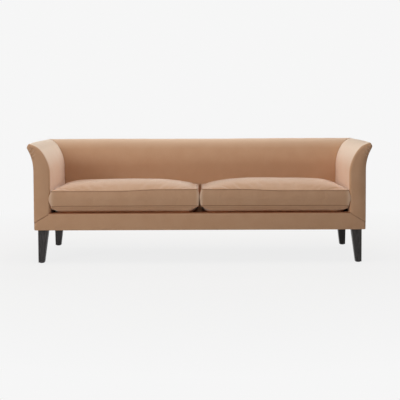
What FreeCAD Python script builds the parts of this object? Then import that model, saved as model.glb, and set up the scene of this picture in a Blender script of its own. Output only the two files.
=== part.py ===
import FreeCAD, Part
import math
import os

from FreeCAD import Vector

# Three-seater sofa with flared arms and back, two loose seat cushions and four tapered legs.
# Millimetres. X runs across the sofa, the front faces -Y, Z is up.
# The origin is on the floor, in the middle of the sofa's length and depth.

# Overall sizes
body_width = 2000.0
body_depth = 697.0
crown_height = 716.0
leg_height = 200.0
seat_edge_height = 303.0

# Section that both arms and the back share: upright inside, flaring outwards to a rolled lip
shell_thickness = 97.0
low_flare_radius = 210.0
low_flare_angle = 40.0
high_flare_radius = 115.0
high_flare_angle = 80.0
lip_radius = 15.0
lip_angle = 210.0
timber_end_angle = 72.0
timber_lip_angle = 207.0
front_edge_radius = 13.0

# Layers of the upholstery
cover = 1.5
arm_foam = 25.0
front_pad = 12.0
board_panel = 3.0
dust_cloth = 0.8
dust_cover_inset = 5.0
cover_turn_under = 20.0
mitre_inner_height = 300.0
mitre_outer_height = 244.0
deck_edge_radius = 10.0
deck_edge_depth = 60.0

# Timber frame
ply = 18.0
rail_thickness = 30.0
rail_height = 83.0
seat_back_rail_thickness = 25.0
seat_back_rail_height = 50.0
cross_rail_drop = 30.0
top_rail_height = 70.0
post_size = 40.0
back_board_inset = 70.0
leg_block_length = 80.0
leg_block_height = 40.0

# Seat deck, pitched down towards the back
seat_pitch = 2.0
deck_pad = 12.0
strap_thickness = 1.8
strap_width = 60.0
strap_rise = 12.0
long_strap_count = 9
cross_strap_count = 3
strap_bend_gap = 2.0
strap_end_gap = 1.0
deck_end_gap = 1.0

# Legs
leg_top = 60.0
leg_foot = 36.0
leg_side_inset = 22.0
leg_end_inset = 10.0
leg_chamfer = 1.5
plate_thickness = 3.0
bolt_radius = 4.0
bolt_in_leg = 40.0
bolt_in_block = 30.0
bolt_clearance = 0.1
glide_radius = 13.0
glide_taper = 1.0
glide_height = 4.0

# Seat cushions
cushion_side_gap = 2.0
cushion_middle_gap = 1.5
cushion_front_setback = 0.0
cushion_back_gap = 11.0
cushion_rest_gap = 0.3
bottom_crown = 41.0
bottom_span = 75.0
boxing_height = 98.0
top_crown = 45.0
crown_span = 190.0
crown_steps = 3
side_bulge = 5.0
front_draw_in = 5.0
end_draw_in = 4.0
cushion_corner_radius = 24.0
piping_radius = 2.6
piping_sides = 6
piping_stand = 1.2
core_margin = 22.0

# Zip in the rear boxing of each cushion
zip_length = 760.0
zip_groove_height = 12.0
zip_groove_depth = 4.0
zip_tape = 1.0
zip_slider_length = 11.0
zip_slider_height = 8.0
zip_slider_thickness = 2.0
zip_end_stop = 4.0
zip_run_gap = 0.1
zip_slider_waist = 0.55
zip_slider_tail = 0.6

# Worked-out sizes
half_width = body_width / 2
half_inner = half_width - shell_thickness
foam_back = cover + arm_foam
timber_inner = foam_back + board_panel
timber_outer = cover + board_panel
panel_foot = leg_height + dust_cloth
timber_base = leg_height + plate_thickness
rail_inner = shell_thickness - timber_outer - rail_thickness
pitch_axis = Vector(1, 0, 0)
far = 2 * body_width
overshoot = 1.0


# The shared section is drawn in a plane: the first number is the distance outwards from
# the inside face, the second is the height.
def on_circle(centre, radius, degrees):
    """Point at an angle that starts at the inside of the circle and climbs over its top."""
    turn = math.radians(degrees)
    return (centre[0] - radius * math.cos(turn), centre[1] + radius * math.sin(turn))


low_rise = (low_flare_radius - high_flare_radius) * math.sin(math.radians(low_flare_angle))
high_rise = (high_flare_radius - lip_radius) * math.sin(math.radians(high_flare_angle))
flare_start = crown_height - low_rise - high_rise - lip_radius
low_centre = (low_flare_radius, flare_start)
high_centre = on_circle(low_centre, low_flare_radius - high_flare_radius, low_flare_angle)
lip_centre = on_circle(high_centre, high_flare_radius - lip_radius, high_flare_angle)
lip_end = on_circle(lip_centre, lip_radius, lip_angle)
lip_turn = math.radians(lip_angle)
outer_radius = (lip_end[0] - shell_thickness) / (1 + math.cos(lip_turn))
outer_centre = (
    lip_end[0] - outer_radius * math.cos(lip_turn),
    lip_end[1] + outer_radius * math.sin(lip_turn),
)
flare_reach = lip_centre[0] + lip_radius
body_front = -(body_depth + flare_reach - shell_thickness) / 2
back_inside = body_front + body_depth - shell_thickness
back_outside = body_front + body_depth
mitre_reach = 2 * flare_reach


def upright(point):
    """Point of the section, set in the plane of X and Z."""
    return Vector(point[0], 0, point[1])


def line(start, end):
    return Part.LineSegment(upright(start), upright(end)).toShape()


def arc(centre, radius, start, end):
    middle = (start + end) / 2
    points = [on_circle(centre, radius, angle) for angle in (start, middle, end)]
    return Part.Arc(*[upright(point) for point in points]).toShape()


def outer_point(depth, degrees):
    """Point on the hollow outside curve, a depth under the outside surface."""
    turn = math.radians(degrees)
    radius = outer_radius + depth
    return (
        outer_centre[0] + radius * math.cos(turn),
        outer_centre[1] - radius * math.sin(turn),
    )


def inside_edges(depth, foot, end_angle):
    """Inside surface, a depth under the cover, from its foot to an angle under the lip."""
    return [
        line((depth, foot), (depth, flare_start)),
        arc(low_centre, low_flare_radius - depth, 0, low_flare_angle),
        arc(high_centre, high_flare_radius - depth, low_flare_angle, end_angle),
    ]


def inside_end(depth, end_angle):
    return on_circle(high_centre, high_flare_radius - depth, end_angle)


def lip_edge(depth):
    return arc(lip_centre, lip_radius - depth, high_flare_angle, lip_angle)


def outside_edges(depth, foot, start_angle):
    """Outside surface, a depth under the cover, from an angle under the lip to its foot."""
    middle_angle = (start_angle + 180) / 2
    points = [outer_point(depth, angle) for angle in (start_angle, middle_angle, 180)]
    wall = shell_thickness - depth
    return [
        Part.Arc(*[upright(point) for point in points]).toShape(),
        line((wall, outer_centre[1]), (wall, foot)),
    ]


def face_of(edges):
    return Part.Face(Part.Wire(Part.sortEdges(edges)[0]))


def whole_section(depth, foot):
    """The full section of arm or back, a depth under its surface."""
    edges = inside_edges(depth, foot, high_flare_angle) + [lip_edge(depth)]
    edges += outside_edges(depth, foot, lip_angle)
    edges.append(line((shell_thickness - depth, foot), (depth, foot)))
    return face_of(edges)


def inside_skin_section(foot):
    """Cover that climbs the inside, rolls over the crown and ends under the lip."""
    edges = inside_edges(0, foot, high_flare_angle) + [lip_edge(0)]
    edges.append(line(lip_end, on_circle(lip_centre, lip_radius - cover, lip_angle)))
    edges += [lip_edge(cover)] + inside_edges(cover, foot, high_flare_angle)
    edges.append(line((0, foot), (cover, foot)))
    return face_of(edges)


def outside_skin_section(outer, inner, foot, start_angle):
    """Layer on the outside between two depths, from under the lip to its foot."""
    edges = outside_edges(outer, foot, start_angle)
    edges += outside_edges(inner, foot, start_angle)
    edges.append(line(outer_point(outer, start_angle), outer_point(inner, start_angle)))
    edges.append(line((shell_thickness - outer, foot), (shell_thickness - inner, foot)))
    return face_of(edges)


def foam_section(foot):
    """Foam sheet on the inside, folded over the timber and into the lip."""
    edges = inside_edges(cover, foot, high_flare_angle) + [lip_edge(cover)]
    lip_point = on_circle(lip_centre, lip_radius - cover, lip_angle)
    edges.append(line(lip_point, inside_end(foam_back, timber_end_angle)))
    edges += inside_edges(foam_back, foot, timber_end_angle)
    edges.append(line((cover, foot), (foam_back, foot)))
    return face_of(edges)


def inside_panel_section(foot):
    """Thin hardboard that carries the foam."""
    edges = inside_edges(foam_back, foot, timber_end_angle)
    edges += inside_edges(timber_inner, foot, timber_end_angle)
    edges.append(line((foam_back, foot), (timber_inner, foot)))
    edges.append(
        line(inside_end(foam_back, timber_end_angle), inside_end(timber_inner, timber_end_angle))
    )
    return face_of(edges)


def timber_section(foot):
    """Space between the two hardboard skins, which boards and top rails fill."""
    edges = inside_edges(timber_inner, foot, timber_end_angle)
    edges += outside_edges(timber_outer, foot, timber_lip_angle)
    top_inside = inside_end(timber_inner, timber_end_angle)
    edges.append(line(top_inside, outer_point(timber_outer, timber_lip_angle)))
    edges.append(line((timber_inner, foot), (shell_thickness - timber_outer, foot)))
    return face_of(edges)


def box(low, high):
    """Box between two opposite corners."""
    size = Vector(*high) - Vector(*low)
    return Part.makeBox(size.x, size.y, size.z, Vector(*low))


def plan_prism(points):
    """Upright prism over an outline in plan, taller than the sofa."""
    outline = [Vector(x, y, -crown_height) for x, y in points]
    face = Part.Face(Part.makePolygon(outline + outline[:1]))
    return face.extrude(Vector(0, 0, 3 * crown_height))


# The arms and the back meet in 45 degree mitres that start at the inside corner.
def behind_mitre():
    corner = half_inner - overshoot
    start = back_inside - overshoot
    return plan_prism([
        (corner, start),
        (corner + mitre_reach, start + mitre_reach),
        (corner, start + mitre_reach),
    ])


def before_mitre():
    corner = half_inner - overshoot
    start = back_inside - overshoot
    return plan_prism([
        (corner, start),
        (corner + mitre_reach, start + mitre_reach),
        (corner + mitre_reach, start),
    ])


def mirrored(shape):
    return shape.mirror(Vector(0, 0, 0), Vector(1, 0, 0))


def arm_run(section, start):
    """Section carried from a start back to the mitre, as the right arm."""
    length = back_inside + mitre_reach / 2 - start
    run = section.extrude(Vector(0, length, 0))
    run.translate(Vector(half_inner, start, 0))
    return run.cut(behind_mitre())


def back_run(section):
    """Section carried across the back, mitred at both ends."""
    reach = half_inner + flare_reach + overshoot
    run = section.extrude(Vector(0, 2 * reach, 0))
    run.translate(Vector(0, -reach, 0))
    run.rotate(Vector(0, 0, 0), Vector(0, 0, 1), 90)
    run.translate(Vector(0, back_inside, 0))
    wedge = before_mitre()
    return run.cut(wedge).cut(mirrored(wedge))


# The deck lies on a plane that starts at the front edge of the seat and falls to the back.
# Pieces of the deck are made level and then pitched about that edge.
deck_origin = Vector(0, body_front, seat_edge_height)
pad_bottom = -(cover + deck_pad)
over_strap = pad_bottom - strap_thickness
long_strap_level = over_strap - strap_thickness


def pitched(shape):
    shape.rotate(deck_origin, pitch_axis, -seat_pitch)
    return shape


def deck_box(low, high):
    """Box in deck measures: across, back from the front edge, and up from the deck."""
    lift = Vector(0, body_front, seat_edge_height)
    return pitched(box(tuple(Vector(*low) + lift), tuple(Vector(*high) + lift)))


def below_deck(level):
    return deck_box((-far, -far, -far), (far, far, level))


def above_deck(level):
    return deck_box((-far, -far, level), (far, far, far))


def front_edges(shape, front):
    """Edges round the front face, apart from the one at its foot."""
    picked = []
    for edge in shape.Edges:
        at_front = all(abs(vertex.Y - front) < 1e-6 for vertex in edge.Vertexes)
        level = abs(edge.Vertexes[0].Z - edge.Vertexes[-1].Z) < 1e-6
        at_foot = level and edge.Vertexes[0].Z < seat_edge_height
        if at_front and not at_foot:
            picked.append(edge)
    return picked


def square_arm_block(depth):
    """Right arm as one block, a depth under its surface, with the edges round its front."""
    front = body_front + depth
    length = back_inside + mitre_reach / 2 - front
    block = whole_section(depth, panel_foot).extrude(Vector(0, length, 0))
    block.translate(Vector(half_inner, front, 0))
    return block, front_edges(block, front)


def arm_outside():
    """Arm as it shows, with its front edges rounded."""
    block, edges = square_arm_block(0)
    return block.makeFillet(front_edge_radius, edges)


def arm_padding():
    """Arm without its cover: the edges of the front padding are trimmed off at an angle."""
    block, edges = square_arm_block(cover)
    return block.makeChamfer(front_edge_radius - cover, edges)


def mitre_prism():
    """Space below the front seam that slants from the seat edge to the outside."""
    slope = (mitre_inner_height - mitre_outer_height) / shell_thickness
    inner = half_inner - overshoot
    outer = half_width + overshoot
    front = body_front - overshoot
    outline = [
        Vector(inner, front, mitre_inner_height + slope * overshoot),
        Vector(outer, front, mitre_outer_height - slope * overshoot),
        Vector(outer, front, 0),
        Vector(inner, front, 0),
    ]
    face = Part.Face(Part.makePolygon(outline + outline[:1]))
    return face.extrude(Vector(0, body_depth + mitre_reach, 0))


def arm_skin():
    """Everything between the outside of the arm and its padding."""
    return arm_outside().cut([arm_padding(), behind_mitre()])


def arm_cover(skin):
    """Inside arm cover, drawn round the front and seamed at the outside edge and the mitre."""
    outside = outside_skin_section(-overshoot, cover, panel_foot - overshoot, lip_angle)
    outside = outside.extrude(Vector(0, body_depth + mitre_reach, 0))
    outside.translate(Vector(half_inner, body_front + front_edge_radius, 0))
    underside = box(
        (half_inner - overshoot, body_front + front_edge_radius, 0),
        (half_width + flare_reach, back_outside + flare_reach, panel_foot + cover),
    )
    inside_foot = below_deck(0).common(box(
        (0, body_front + front_edge_radius, 0),
        (half_width, back_outside + flare_reach, crown_height),
    ))
    return skin.cut(outside).cut(mitre_prism()).cut(underside).cut(inside_foot)


def turned_under(start):
    """Edge of an outside cover, stapled under the rail."""
    return Part.Face(Part.makePolygon([
        Vector(shell_thickness - cover, 0, panel_foot),
        Vector(shell_thickness - start, 0, panel_foot),
        Vector(shell_thickness - start, 0, panel_foot + cover),
        Vector(shell_thickness - cover, 0, panel_foot + cover),
        Vector(shell_thickness - cover, 0, panel_foot),
    ]))


def outside_cover_section():
    skin = outside_skin_section(0, cover, panel_foot, lip_angle)
    return skin.fuse(turned_under(cover_turn_under)).removeSplitter().Faces[0]


def outside_arm_cover():
    run = arm_run(outside_cover_section(), body_front + front_edge_radius)
    return run.cut(leg_plates_space())


def front_border_section(depth):
    """Front panel that turns over the seat edge, as a face in the plane of Y and Z."""
    front = body_front + depth
    top = seat_edge_height - depth
    radius = deck_edge_radius - depth
    back = body_front + deck_edge_depth
    diagonal = radius * (1 - math.sqrt(0.5))
    foot = panel_foot + depth
    edges = [
        Part.LineSegment(Vector(0, front, foot), Vector(0, front, top - radius)).toShape(),
        Part.Arc(
            Vector(0, front, top - radius),
            Vector(0, front + diagonal, top - diagonal),
            Vector(0, front + radius, top),
        ).toShape(),
        Part.LineSegment(Vector(0, front + radius, top), Vector(0, back, top)).toShape(),
        Part.LineSegment(Vector(0, back, top), Vector(0, back, foot)).toShape(),
        Part.LineSegment(Vector(0, back, foot), Vector(0, front, foot)).toShape(),
    ]
    return face_of(edges)


def across(face, half_length):
    """Face in the plane of Y and Z, carried across the sofa between the arms."""
    run = face.extrude(Vector(2 * half_length, 0, 0))
    run.translate(Vector(-half_length, 0, 0))
    return run


def front_border():
    """Border under the seat, with mitred ends that run out below the arm fronts."""
    block = across(front_border_section(0), half_inner)
    under = box(
        (-half_inner, body_front + cover_turn_under, panel_foot - overshoot),
        (half_inner, body_front + deck_edge_depth + overshoot, panel_foot + cover),
    )
    behind = box(
        (-half_inner, body_front + cover, panel_foot + cover),
        (half_inner, body_front + deck_edge_depth, seat_edge_height - deck_edge_radius),
    )
    border = block.cut(across(front_border_section(cover), half_inner)).cut(under).cut(behind)
    end = border_end().common(mitre_prism())
    return border.fuse([end, mirrored(end)]).removeSplitter()


def border_end():
    """End of the border, turned round the outside corner of the arm."""
    radius = front_edge_radius
    middle = radius * (1 - math.sqrt(0.5))
    edges = []
    for depth in (0, cover):
        front = body_front + depth
        side = half_width - depth
        bend = radius - depth
        turn = middle + depth * math.sqrt(0.5)
        start = Vector(side - bend, front, 0)
        end = Vector(side, front + bend, 0)
        edges.append(Part.LineSegment(Vector(half_inner, front, 0), start).toShape())
        corner = Vector(half_width - turn, body_front + turn, 0)
        edges.append(Part.Arc(start, corner, end).toShape())
    inner_side = Vector(half_inner, body_front, 0)
    edges.append(Part.LineSegment(inner_side, inner_side + Vector(0, cover, 0)).toShape())
    outer_side = Vector(half_width, body_front + radius, 0)
    edges.append(Part.LineSegment(outer_side, outer_side - Vector(cover, 0, 0)).toShape())
    face = face_of(edges)
    face.translate(Vector(0, 0, panel_foot))
    return face.extrude(Vector(0, 0, mitre_inner_height))


def front_edge_pad():
    """Foam on the front rail and over its top edge."""
    pad = across(front_border_section(cover), half_inner)
    rail_space = box(
        (-half_inner, body_front + cover + front_pad, 0),
        (half_inner, body_front + deck_edge_depth, seat_edge_height + long_strap_level),
    )
    deck_space = above_deck(long_strap_level).common(box(
        (-half_inner, body_front + cover + front_pad, 0),
        (half_inner, body_front + deck_edge_depth, seat_edge_height - front_pad),
    ))
    deck_sheets = deck_box((-far, deck_edge_depth, pad_bottom), (far, far, 0))
    return pad.cut([rail_space, deck_space, strap_end_space(), deck_sheets])


def strap_end_space():
    """Room that the strap ends need on top of the front rail."""
    start = cover + front_pad
    return deck_box(
        (-half_inner, start, long_strap_level - strap_thickness),
        (half_inner, deck_edge_depth + overshoot, over_strap + strap_thickness),
    )


def arm_front_pad():
    """Foam pad on the front board, up to the cover."""
    front_zone = box(
        (half_inner, body_front - overshoot, timber_base),
        (half_width + flare_reach, body_front + cover + front_pad, crown_height),
    )
    return arm_padding().common(front_zone)


def shell_foam(run):
    return run.cut(below_deck(0))


def outside_panel_section():
    return outside_skin_section(cover, timber_outer, timber_base, timber_lip_angle)


# Timber frame
pad_back = body_front + cover + front_pad
board_back = pad_back + ply
side_rail_end = back_outside - timber_outer
timber_room = half_inner + timber_inner
rail_face = half_inner + rail_inner
top_rail_foot = inside_end(timber_inner, timber_end_angle)[1] - top_rail_height


def front_rail():
    rail = box(
        (-timber_room, pad_back, timber_base),
        (timber_room, pad_back + rail_thickness, timber_base + rail_height + strap_rise),
    )
    return rail.cut(above_deck(long_strap_level))


def side_rail():
    rail = box(
        (rail_face, board_back, timber_base),
        (rail_face + rail_thickness, side_rail_end, timber_base + rail_height + strap_rise),
    )
    return rail.cut(above_deck(long_strap_level))


def back_rail():
    """Lower rail at the outside of the back, between the side rails."""
    rail = box(
        (-rail_face, side_rail_end - rail_thickness, timber_base),
        (rail_face, side_rail_end, timber_base + rail_height),
    )
    return rail.cut(above_deck(over_strap + bolt_clearance))


def seat_back_rail():
    """Rail that holds the rear ends of the straps, between the rear leg blocks."""
    start = back_inside + timber_inner
    rail = box(
        (-timber_room, start, timber_base + rail_height - strap_rise - seat_back_rail_height),
        (timber_room, start + seat_back_rail_thickness, timber_base + rail_height),
    )
    return rail.cut(above_deck(long_strap_level))


def cross_rail():
    """Middle rail that ties the front rail to the rail behind the seat."""
    rail = box(
        (-rail_thickness / 2, pad_back + rail_thickness, timber_base),
        (rail_thickness / 2, back_inside + timber_inner, timber_base + rail_height),
    )
    return rail.cut(above_deck(long_strap_level - cross_rail_drop))


def arm_front_board():
    """Plywood board with the outline of the arm, which sets the shape of the arm front."""
    board = timber_section(timber_base).extrude(Vector(0, ply, 0))
    board.translate(Vector(half_inner, pad_back, 0))
    return board


def corner_post():
    """Post on the side rail at the rear corner, under the mitre of the top rails."""
    end = shell_thickness - timber_outer
    return box(
        (half_inner + end - post_size, back_inside + end - post_size, timber_base),
        (half_inner + end, back_inside + end, top_rail_foot),
    ).cut(below_deck(over_strap + bolt_clearance))


def back_board(centre):
    """Plywood upright of the back, between the back rail and the top rail."""
    board = timber_section(timber_base).extrude(Vector(0, ply, 0))
    board.rotate(Vector(0, 0, 0), Vector(0, 0, 1), 90)
    board.translate(Vector(centre + ply / 2, back_inside, 0))
    above = box((-far, -far, top_rail_foot), (far, far, far))
    return board.cut(above).cut(below_deck(over_strap + bolt_clearance))


def top_rail(run):
    """Head of the timber section, cut level underneath."""
    return run.cut(box((-far, -far, 0), (far, far, top_rail_foot)))


def leg_centres():
    """Middle of each leg's head, front pair first, left before right."""
    side = half_width - leg_side_inset - leg_top / 2
    front = body_front + leg_end_inset + leg_top / 2
    rear = back_outside - leg_end_inset - leg_top / 2
    return [(-side, front), (side, front), (-side, rear), (side, rear)]


def leg_blocks():
    """Blocks glued into the corners of the frame, each bored for its leg bolt."""
    blocks = []
    for x, y in leg_centres():
        start = board_back if y < 0 else side_rail_end - rail_thickness - leg_block_length
        low = (min(timber_room, rail_face), start, timber_base)
        high = (rail_face, start + leg_block_length, timber_base + leg_block_height)
        block = box(low, high)
        if x < 0:
            block = mirrored(block)
        hole = bolt_radius + bolt_clearance
        blocks.append(block.cut(Part.makeCylinder(hole, far, Vector(x, y, 0))))
    return blocks


def leg_plates_space():
    """Room that the four leg plates take under the frame."""
    spaces = [plate_box(x, y, bolt_clearance) for x, y in leg_centres()]
    return Part.makeCompound(spaces)


def plate_box(x, y, grow):
    half = leg_top / 2 + grow
    return box((x - half, y - half, leg_height), (x + half, y + half, timber_base))


def leg_plates():
    plates = []
    for x, y in leg_centres():
        hole = Part.makeCylinder(bolt_radius + bolt_clearance, far, Vector(x, y, 0))
        plates.append(plate_box(x, y, 0).cut(hole))
    return plates


def leg_bolts():
    """Hanger bolts, from the leg through the plate into the block."""
    foot = leg_height - bolt_in_leg
    length = bolt_in_leg + plate_thickness + bolt_in_block
    return [Part.makeCylinder(bolt_radius, length, Vector(x, y, foot)) for x, y in leg_centres()]


def leg(x, y):
    """Square leg with upright outer faces, tapering on its two inner faces."""
    side = 1 if x > 0 else -1
    end = 1 if y > 0 else -1
    block = Part.makeBox(leg_top, leg_top, leg_height - glide_height, Vector(0, 0, glide_height))
    taper = [
        Vector(leg_foot, -overshoot, glide_height),
        Vector(leg_top, -overshoot, leg_height),
        Vector(leg_top, -overshoot, glide_height),
    ]
    wedge_face = Part.Face(Part.makePolygon(taper + taper[:1]))
    wedge = wedge_face.extrude(Vector(0, leg_top + 2 * overshoot, 0))
    turned = wedge.mirror(Vector(0, 0, 0), Vector(1, -1, 0))
    block = block.cut([wedge, turned])
    long_edges = [edge for edge in block.Edges if edge.BoundBox.ZLength > leg_height / 2]
    solid = block.makeChamfer(leg_chamfer, long_edges)
    if side > 0:
        solid = mirrored(solid)
    if end > 0:
        solid = solid.mirror(Vector(0, 0, 0), Vector(0, 1, 0))
    solid.translate(Vector(x + side * leg_top / 2, y + end * leg_top / 2, 0))
    bore = bolt_radius + bolt_clearance
    return solid.cut(Part.makeCylinder(bore, far, Vector(x, y, leg_height - bolt_in_leg)))


def foot_centre(x, y):
    """Middle of a leg's foot, on the floor."""
    side = 1 if x > 0 else -1
    end = 1 if y > 0 else -1
    shift = (leg_top - leg_foot) / 2
    return Vector(x + side * shift, y + end * shift, 0)


def glides():
    """Plastic glides nailed under the feet, a little narrower at the floor."""
    foot = glide_radius - glide_taper
    centres = [foot_centre(x, y) for x, y in leg_centres()]
    return [Part.makeCone(foot, glide_radius, glide_height, centre) for centre in centres]


def dust_cover():
    """Black cloth stapled under the frame, notched round the leg plates."""
    edge = cover + dust_cover_inset
    sheet = box(
        (-half_width + edge, body_front + edge, leg_height),
        (half_width - edge, back_outside - edge, leg_height + dust_cloth),
    )
    return sheet.cut(leg_plates_space())


# Seat deck
def strap_pitch():
    return 2 * half_inner / long_strap_count


def long_straps():
    """Elastic straps from the front rail to the rail behind the seat."""
    straps = []
    start = cover + front_pad + strap_end_gap
    rail_back = timber_inner + seat_back_rail_thickness
    end = body_depth - shell_thickness + rail_back - strap_end_gap
    for place in range(long_strap_count):
        middle = (place - (long_strap_count - 1) / 2) * strap_pitch()
        straps.append(deck_box(
            (middle - strap_width / 2, start, long_strap_level),
            (middle + strap_width / 2, end, over_strap),
        ))
    return straps


def cross_strap_outline(parity):
    """Upper edge of a cross strap as it goes over and under the long straps."""
    hold = strap_width / 2 + strap_bend_gap
    reach = half_inner + rail_inner + rail_thickness - strap_end_gap
    points = [(-reach, 0)]
    points.append((-half_inner, 0))
    for place in range(long_strap_count):
        middle = (place - (long_strap_count - 1) / 2) * strap_pitch()
        level = strap_thickness if (place + parity) % 2 else -strap_thickness
        points += [(middle - hold, level), (middle + hold, level)]
    points += [(half_inner, 0), (reach, 0)]
    return points


def cross_straps():
    """Straps woven across the long ones, from side rail to side rail."""
    straps = []
    open_depth = body_depth - shell_thickness - deck_edge_depth
    for place in range(cross_strap_count):
        middle = deck_edge_depth + open_depth * (place + 0.5) / cross_strap_count
        upper = cross_strap_outline(place)
        level = seat_edge_height + over_strap
        front = body_front + middle - strap_width / 2
        top = [Vector(x, front, level + z) for x, z in upper]
        low = [Vector(x, front, level + z - strap_thickness) for x, z in reversed(upper)]
        ring = top + low
        strap = Part.Face(Part.makePolygon(ring + ring[:1])).extrude(Vector(0, strap_width, 0))
        straps.append(pitched(strap))
    return straps


def deck_sheet(low, high):
    """Sheet of the deck, between the front edge and the foot of the back."""
    end = body_depth - shell_thickness + timber_inner - deck_end_gap
    return deck_box(
        (-timber_room, deck_edge_depth, low),
        (timber_room, end, high),
    )


# Seat cushions
cushion_width = half_inner - cushion_side_gap - cushion_middle_gap / 2
cushion_depth = body_depth - shell_thickness - cushion_front_setback - cushion_back_gap
cushion_x = cushion_middle_gap / 2 + cushion_width / 2
cushion_y = body_front + cushion_front_setback + cushion_depth / 2
cushion_floor = seat_edge_height + cushion_rest_gap
low_seam = cushion_floor + bottom_crown
high_seam = low_seam + boxing_height


def drawn_arc(centre, along, out, half_length, radius, draw_in):
    """One side of the plan: a shallow curve that is drawn in at its middle.

    The curve is a circle through both corner centres, moved out by the corner radius,
    so that it runs into the corner rounds without a kink.
    """
    if draw_in == 0:
        start = centre - along * half_length + out * radius
        end = centre + along * half_length + out * radius
        return Part.LineSegment(start, end).toShape(), start, end
    circle = (half_length ** 2 + draw_in ** 2) / (2 * draw_in)
    lean = half_length / circle
    rise = math.sqrt(1 - lean ** 2)
    start = centre - along * half_length + (out * rise + along * lean) * radius
    end = centre + along * half_length + (out * rise - along * lean) * radius
    middle = centre + out * (radius - draw_in)
    return Part.Arc(start, middle, end).toShape(), start, end


def plan_outline(inset, height, draw=1):
    """Closed plan of the cushion at a height, inset from its widest outline.

    The share draw says how much of the draw-in the sides have there.
    """
    radius = cushion_corner_radius
    half_x = cushion_width / 2 - inset - radius
    half_y = cushion_depth / 2 - inset - radius
    centre = Vector(cushion_x, cushion_y, height)
    sides = [
        (Vector(0, -half_y, 0), Vector(1, 0, 0), Vector(0, -1, 0), half_x, front_draw_in * draw),
        (Vector(half_x, 0, 0), Vector(0, 1, 0), Vector(1, 0, 0), half_y, end_draw_in * draw),
        (Vector(0, half_y, 0), Vector(-1, 0, 0), Vector(0, 1, 0), half_x, 0),
        (Vector(-half_x, 0, 0), Vector(0, -1, 0), Vector(-1, 0, 0), half_y, end_draw_in * draw),
    ]
    drawn = [drawn_arc(centre + shift, a, o, half, radius, d) for shift, a, o, half, d in sides]
    edges = []
    for place, (side, start, end) in enumerate(drawn):
        shift, along, out, half, draw = sides[place]
        following = drawn[(place + 1) % 4]
        corner = centre + shift + along * half
        middle = (end + following[1]) * 0.5 - corner
        middle.normalize()
        edges.append(side)
        edges.append(Part.Arc(end, corner + middle * radius, following[1]).toShape())
    return Part.Wire(edges)


def crown_levels():
    """Outlines of the top panel: a parabola from the seam to its flat middle.

    Only the seam is drawn in.
    """
    wires = []
    for step in range(crown_steps + 1):
        share = step / crown_steps
        inset = side_bulge + crown_span * share
        height = high_seam + top_crown * (1 - (1 - share) ** 2)
        wires.append(plan_outline(inset, height, 0 if step else 1))
    return wires


def bottom_levels():
    """Outlines of the bottom panel: a quarter ellipse from the seam to where it lies flat."""
    wires = []
    for step in range(crown_steps + 1):
        turn = math.pi / 2 * step / crown_steps
        inset = side_bulge + bottom_span * (1 - math.cos(turn))
        height = low_seam - bottom_crown * math.sin(turn)
        wires.append(plan_outline(inset, height, 0 if step else 1))
    return wires


def band(lower, upper):
    """Faces between two outlines: flat where both sides are straight, else ruled."""
    faces = []
    for low, high in zip(lower.OrderedEdges, upper.OrderedEdges):
        if isinstance(low.Curve, Part.Line) and isinstance(high.Curve, Part.Line):
            a, b = [vertex.Point for vertex in low.Vertexes]
            c, d = [vertex.Point for vertex in high.Vertexes]
            faces.append(Part.Face(Part.makePolygon([a, b, d, c, a])))
        else:
            faces.append(Part.makeRuledSurface(low, high))
    return faces


def cushion_form():
    """Boxed cushion: bulging boxing between two seams, with a crown above and below."""
    middle = plan_outline(0, (low_seam + high_seam) / 2)
    outlines = list(reversed(bottom_levels())) + [middle] + crown_levels()
    faces = [Part.Face(outlines[0]), Part.Face(outlines[-1])]
    for lower, upper in zip(outlines, outlines[1:]):
        faces += band(lower, upper)
    return Part.makeSolid(Part.makeShell(faces))


def core_box():
    """Foam block inside the fibre wrap."""
    half_x = cushion_width / 2 - side_bulge - core_margin
    half_y = cushion_depth / 2 - side_bulge - core_margin
    return box(
        (cushion_x - half_x, cushion_y - half_y, low_seam),
        (cushion_x + half_x, cushion_y + half_y, high_seam),
    )


zip_back = cushion_y + cushion_depth / 2
zip_height = (low_seam + high_seam) / 2


def zip_groove():
    half = zip_length / 2
    return box(
        (cushion_x - half, zip_back - zip_groove_depth, zip_height - zip_groove_height / 2),
        (cushion_x + half, zip_back + overshoot, zip_height + zip_groove_height / 2),
    )


def zip_strip():
    half = zip_length / 2
    back = zip_back - zip_groove_depth
    return box(
        (cushion_x - half, back, zip_height - zip_groove_height / 2),
        (cushion_x + half, back + zip_tape, zip_height + zip_groove_height / 2),
    )


def zip_slider():
    """Slider that narrows to its tail, parked at the closed end of the zip."""
    start = cushion_x - zip_length / 2 + zip_end_stop
    back = zip_back - zip_groove_depth + zip_tape + zip_run_gap
    half = zip_slider_height / 2
    waist = start + zip_slider_length * zip_slider_waist
    narrow = half * zip_slider_tail
    end = start + zip_slider_length
    outline = [(start, narrow), (waist, narrow), (end, half)]
    ring = [Vector(x, back, zip_height + z) for x, z in outline]
    ring += [Vector(x, back, zip_height - z) for x, z in reversed(outline)]
    face = Part.Face(Part.makePolygon(ring + ring[:1]))
    return face.extrude(Vector(0, zip_slider_thickness, 0))


def piping(seam, direction):
    """Cord in a sleeve of the cover, sewn into a seam all the way round."""
    stand_off = piping_stand * piping_radius * math.sqrt(0.5)
    path = plan_outline(side_bulge - stand_off, seam + direction * stand_off)
    start = path.Edges[0].Vertexes[0].Point
    heading = path.Edges[0].tangentAt(path.Edges[0].FirstParameter)
    sideways = heading.cross(Vector(0, 0, 1))
    ring = []
    for place in range(piping_sides):
        turn = 2 * math.pi * (place + 0.5) / piping_sides
        out = sideways * math.cos(turn) + Vector(0, 0, 1) * math.sin(turn)
        ring.append(start + out * piping_radius)
    return path.makePipeShell([Part.makePolygon(ring + ring[:1])], True, False)


def save(name, shape):
    shape.exportStep(os.path.join("parts", name + ".step"))


def save_group(name, shapes):
    save(name, Part.makeCompound(shapes))


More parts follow.
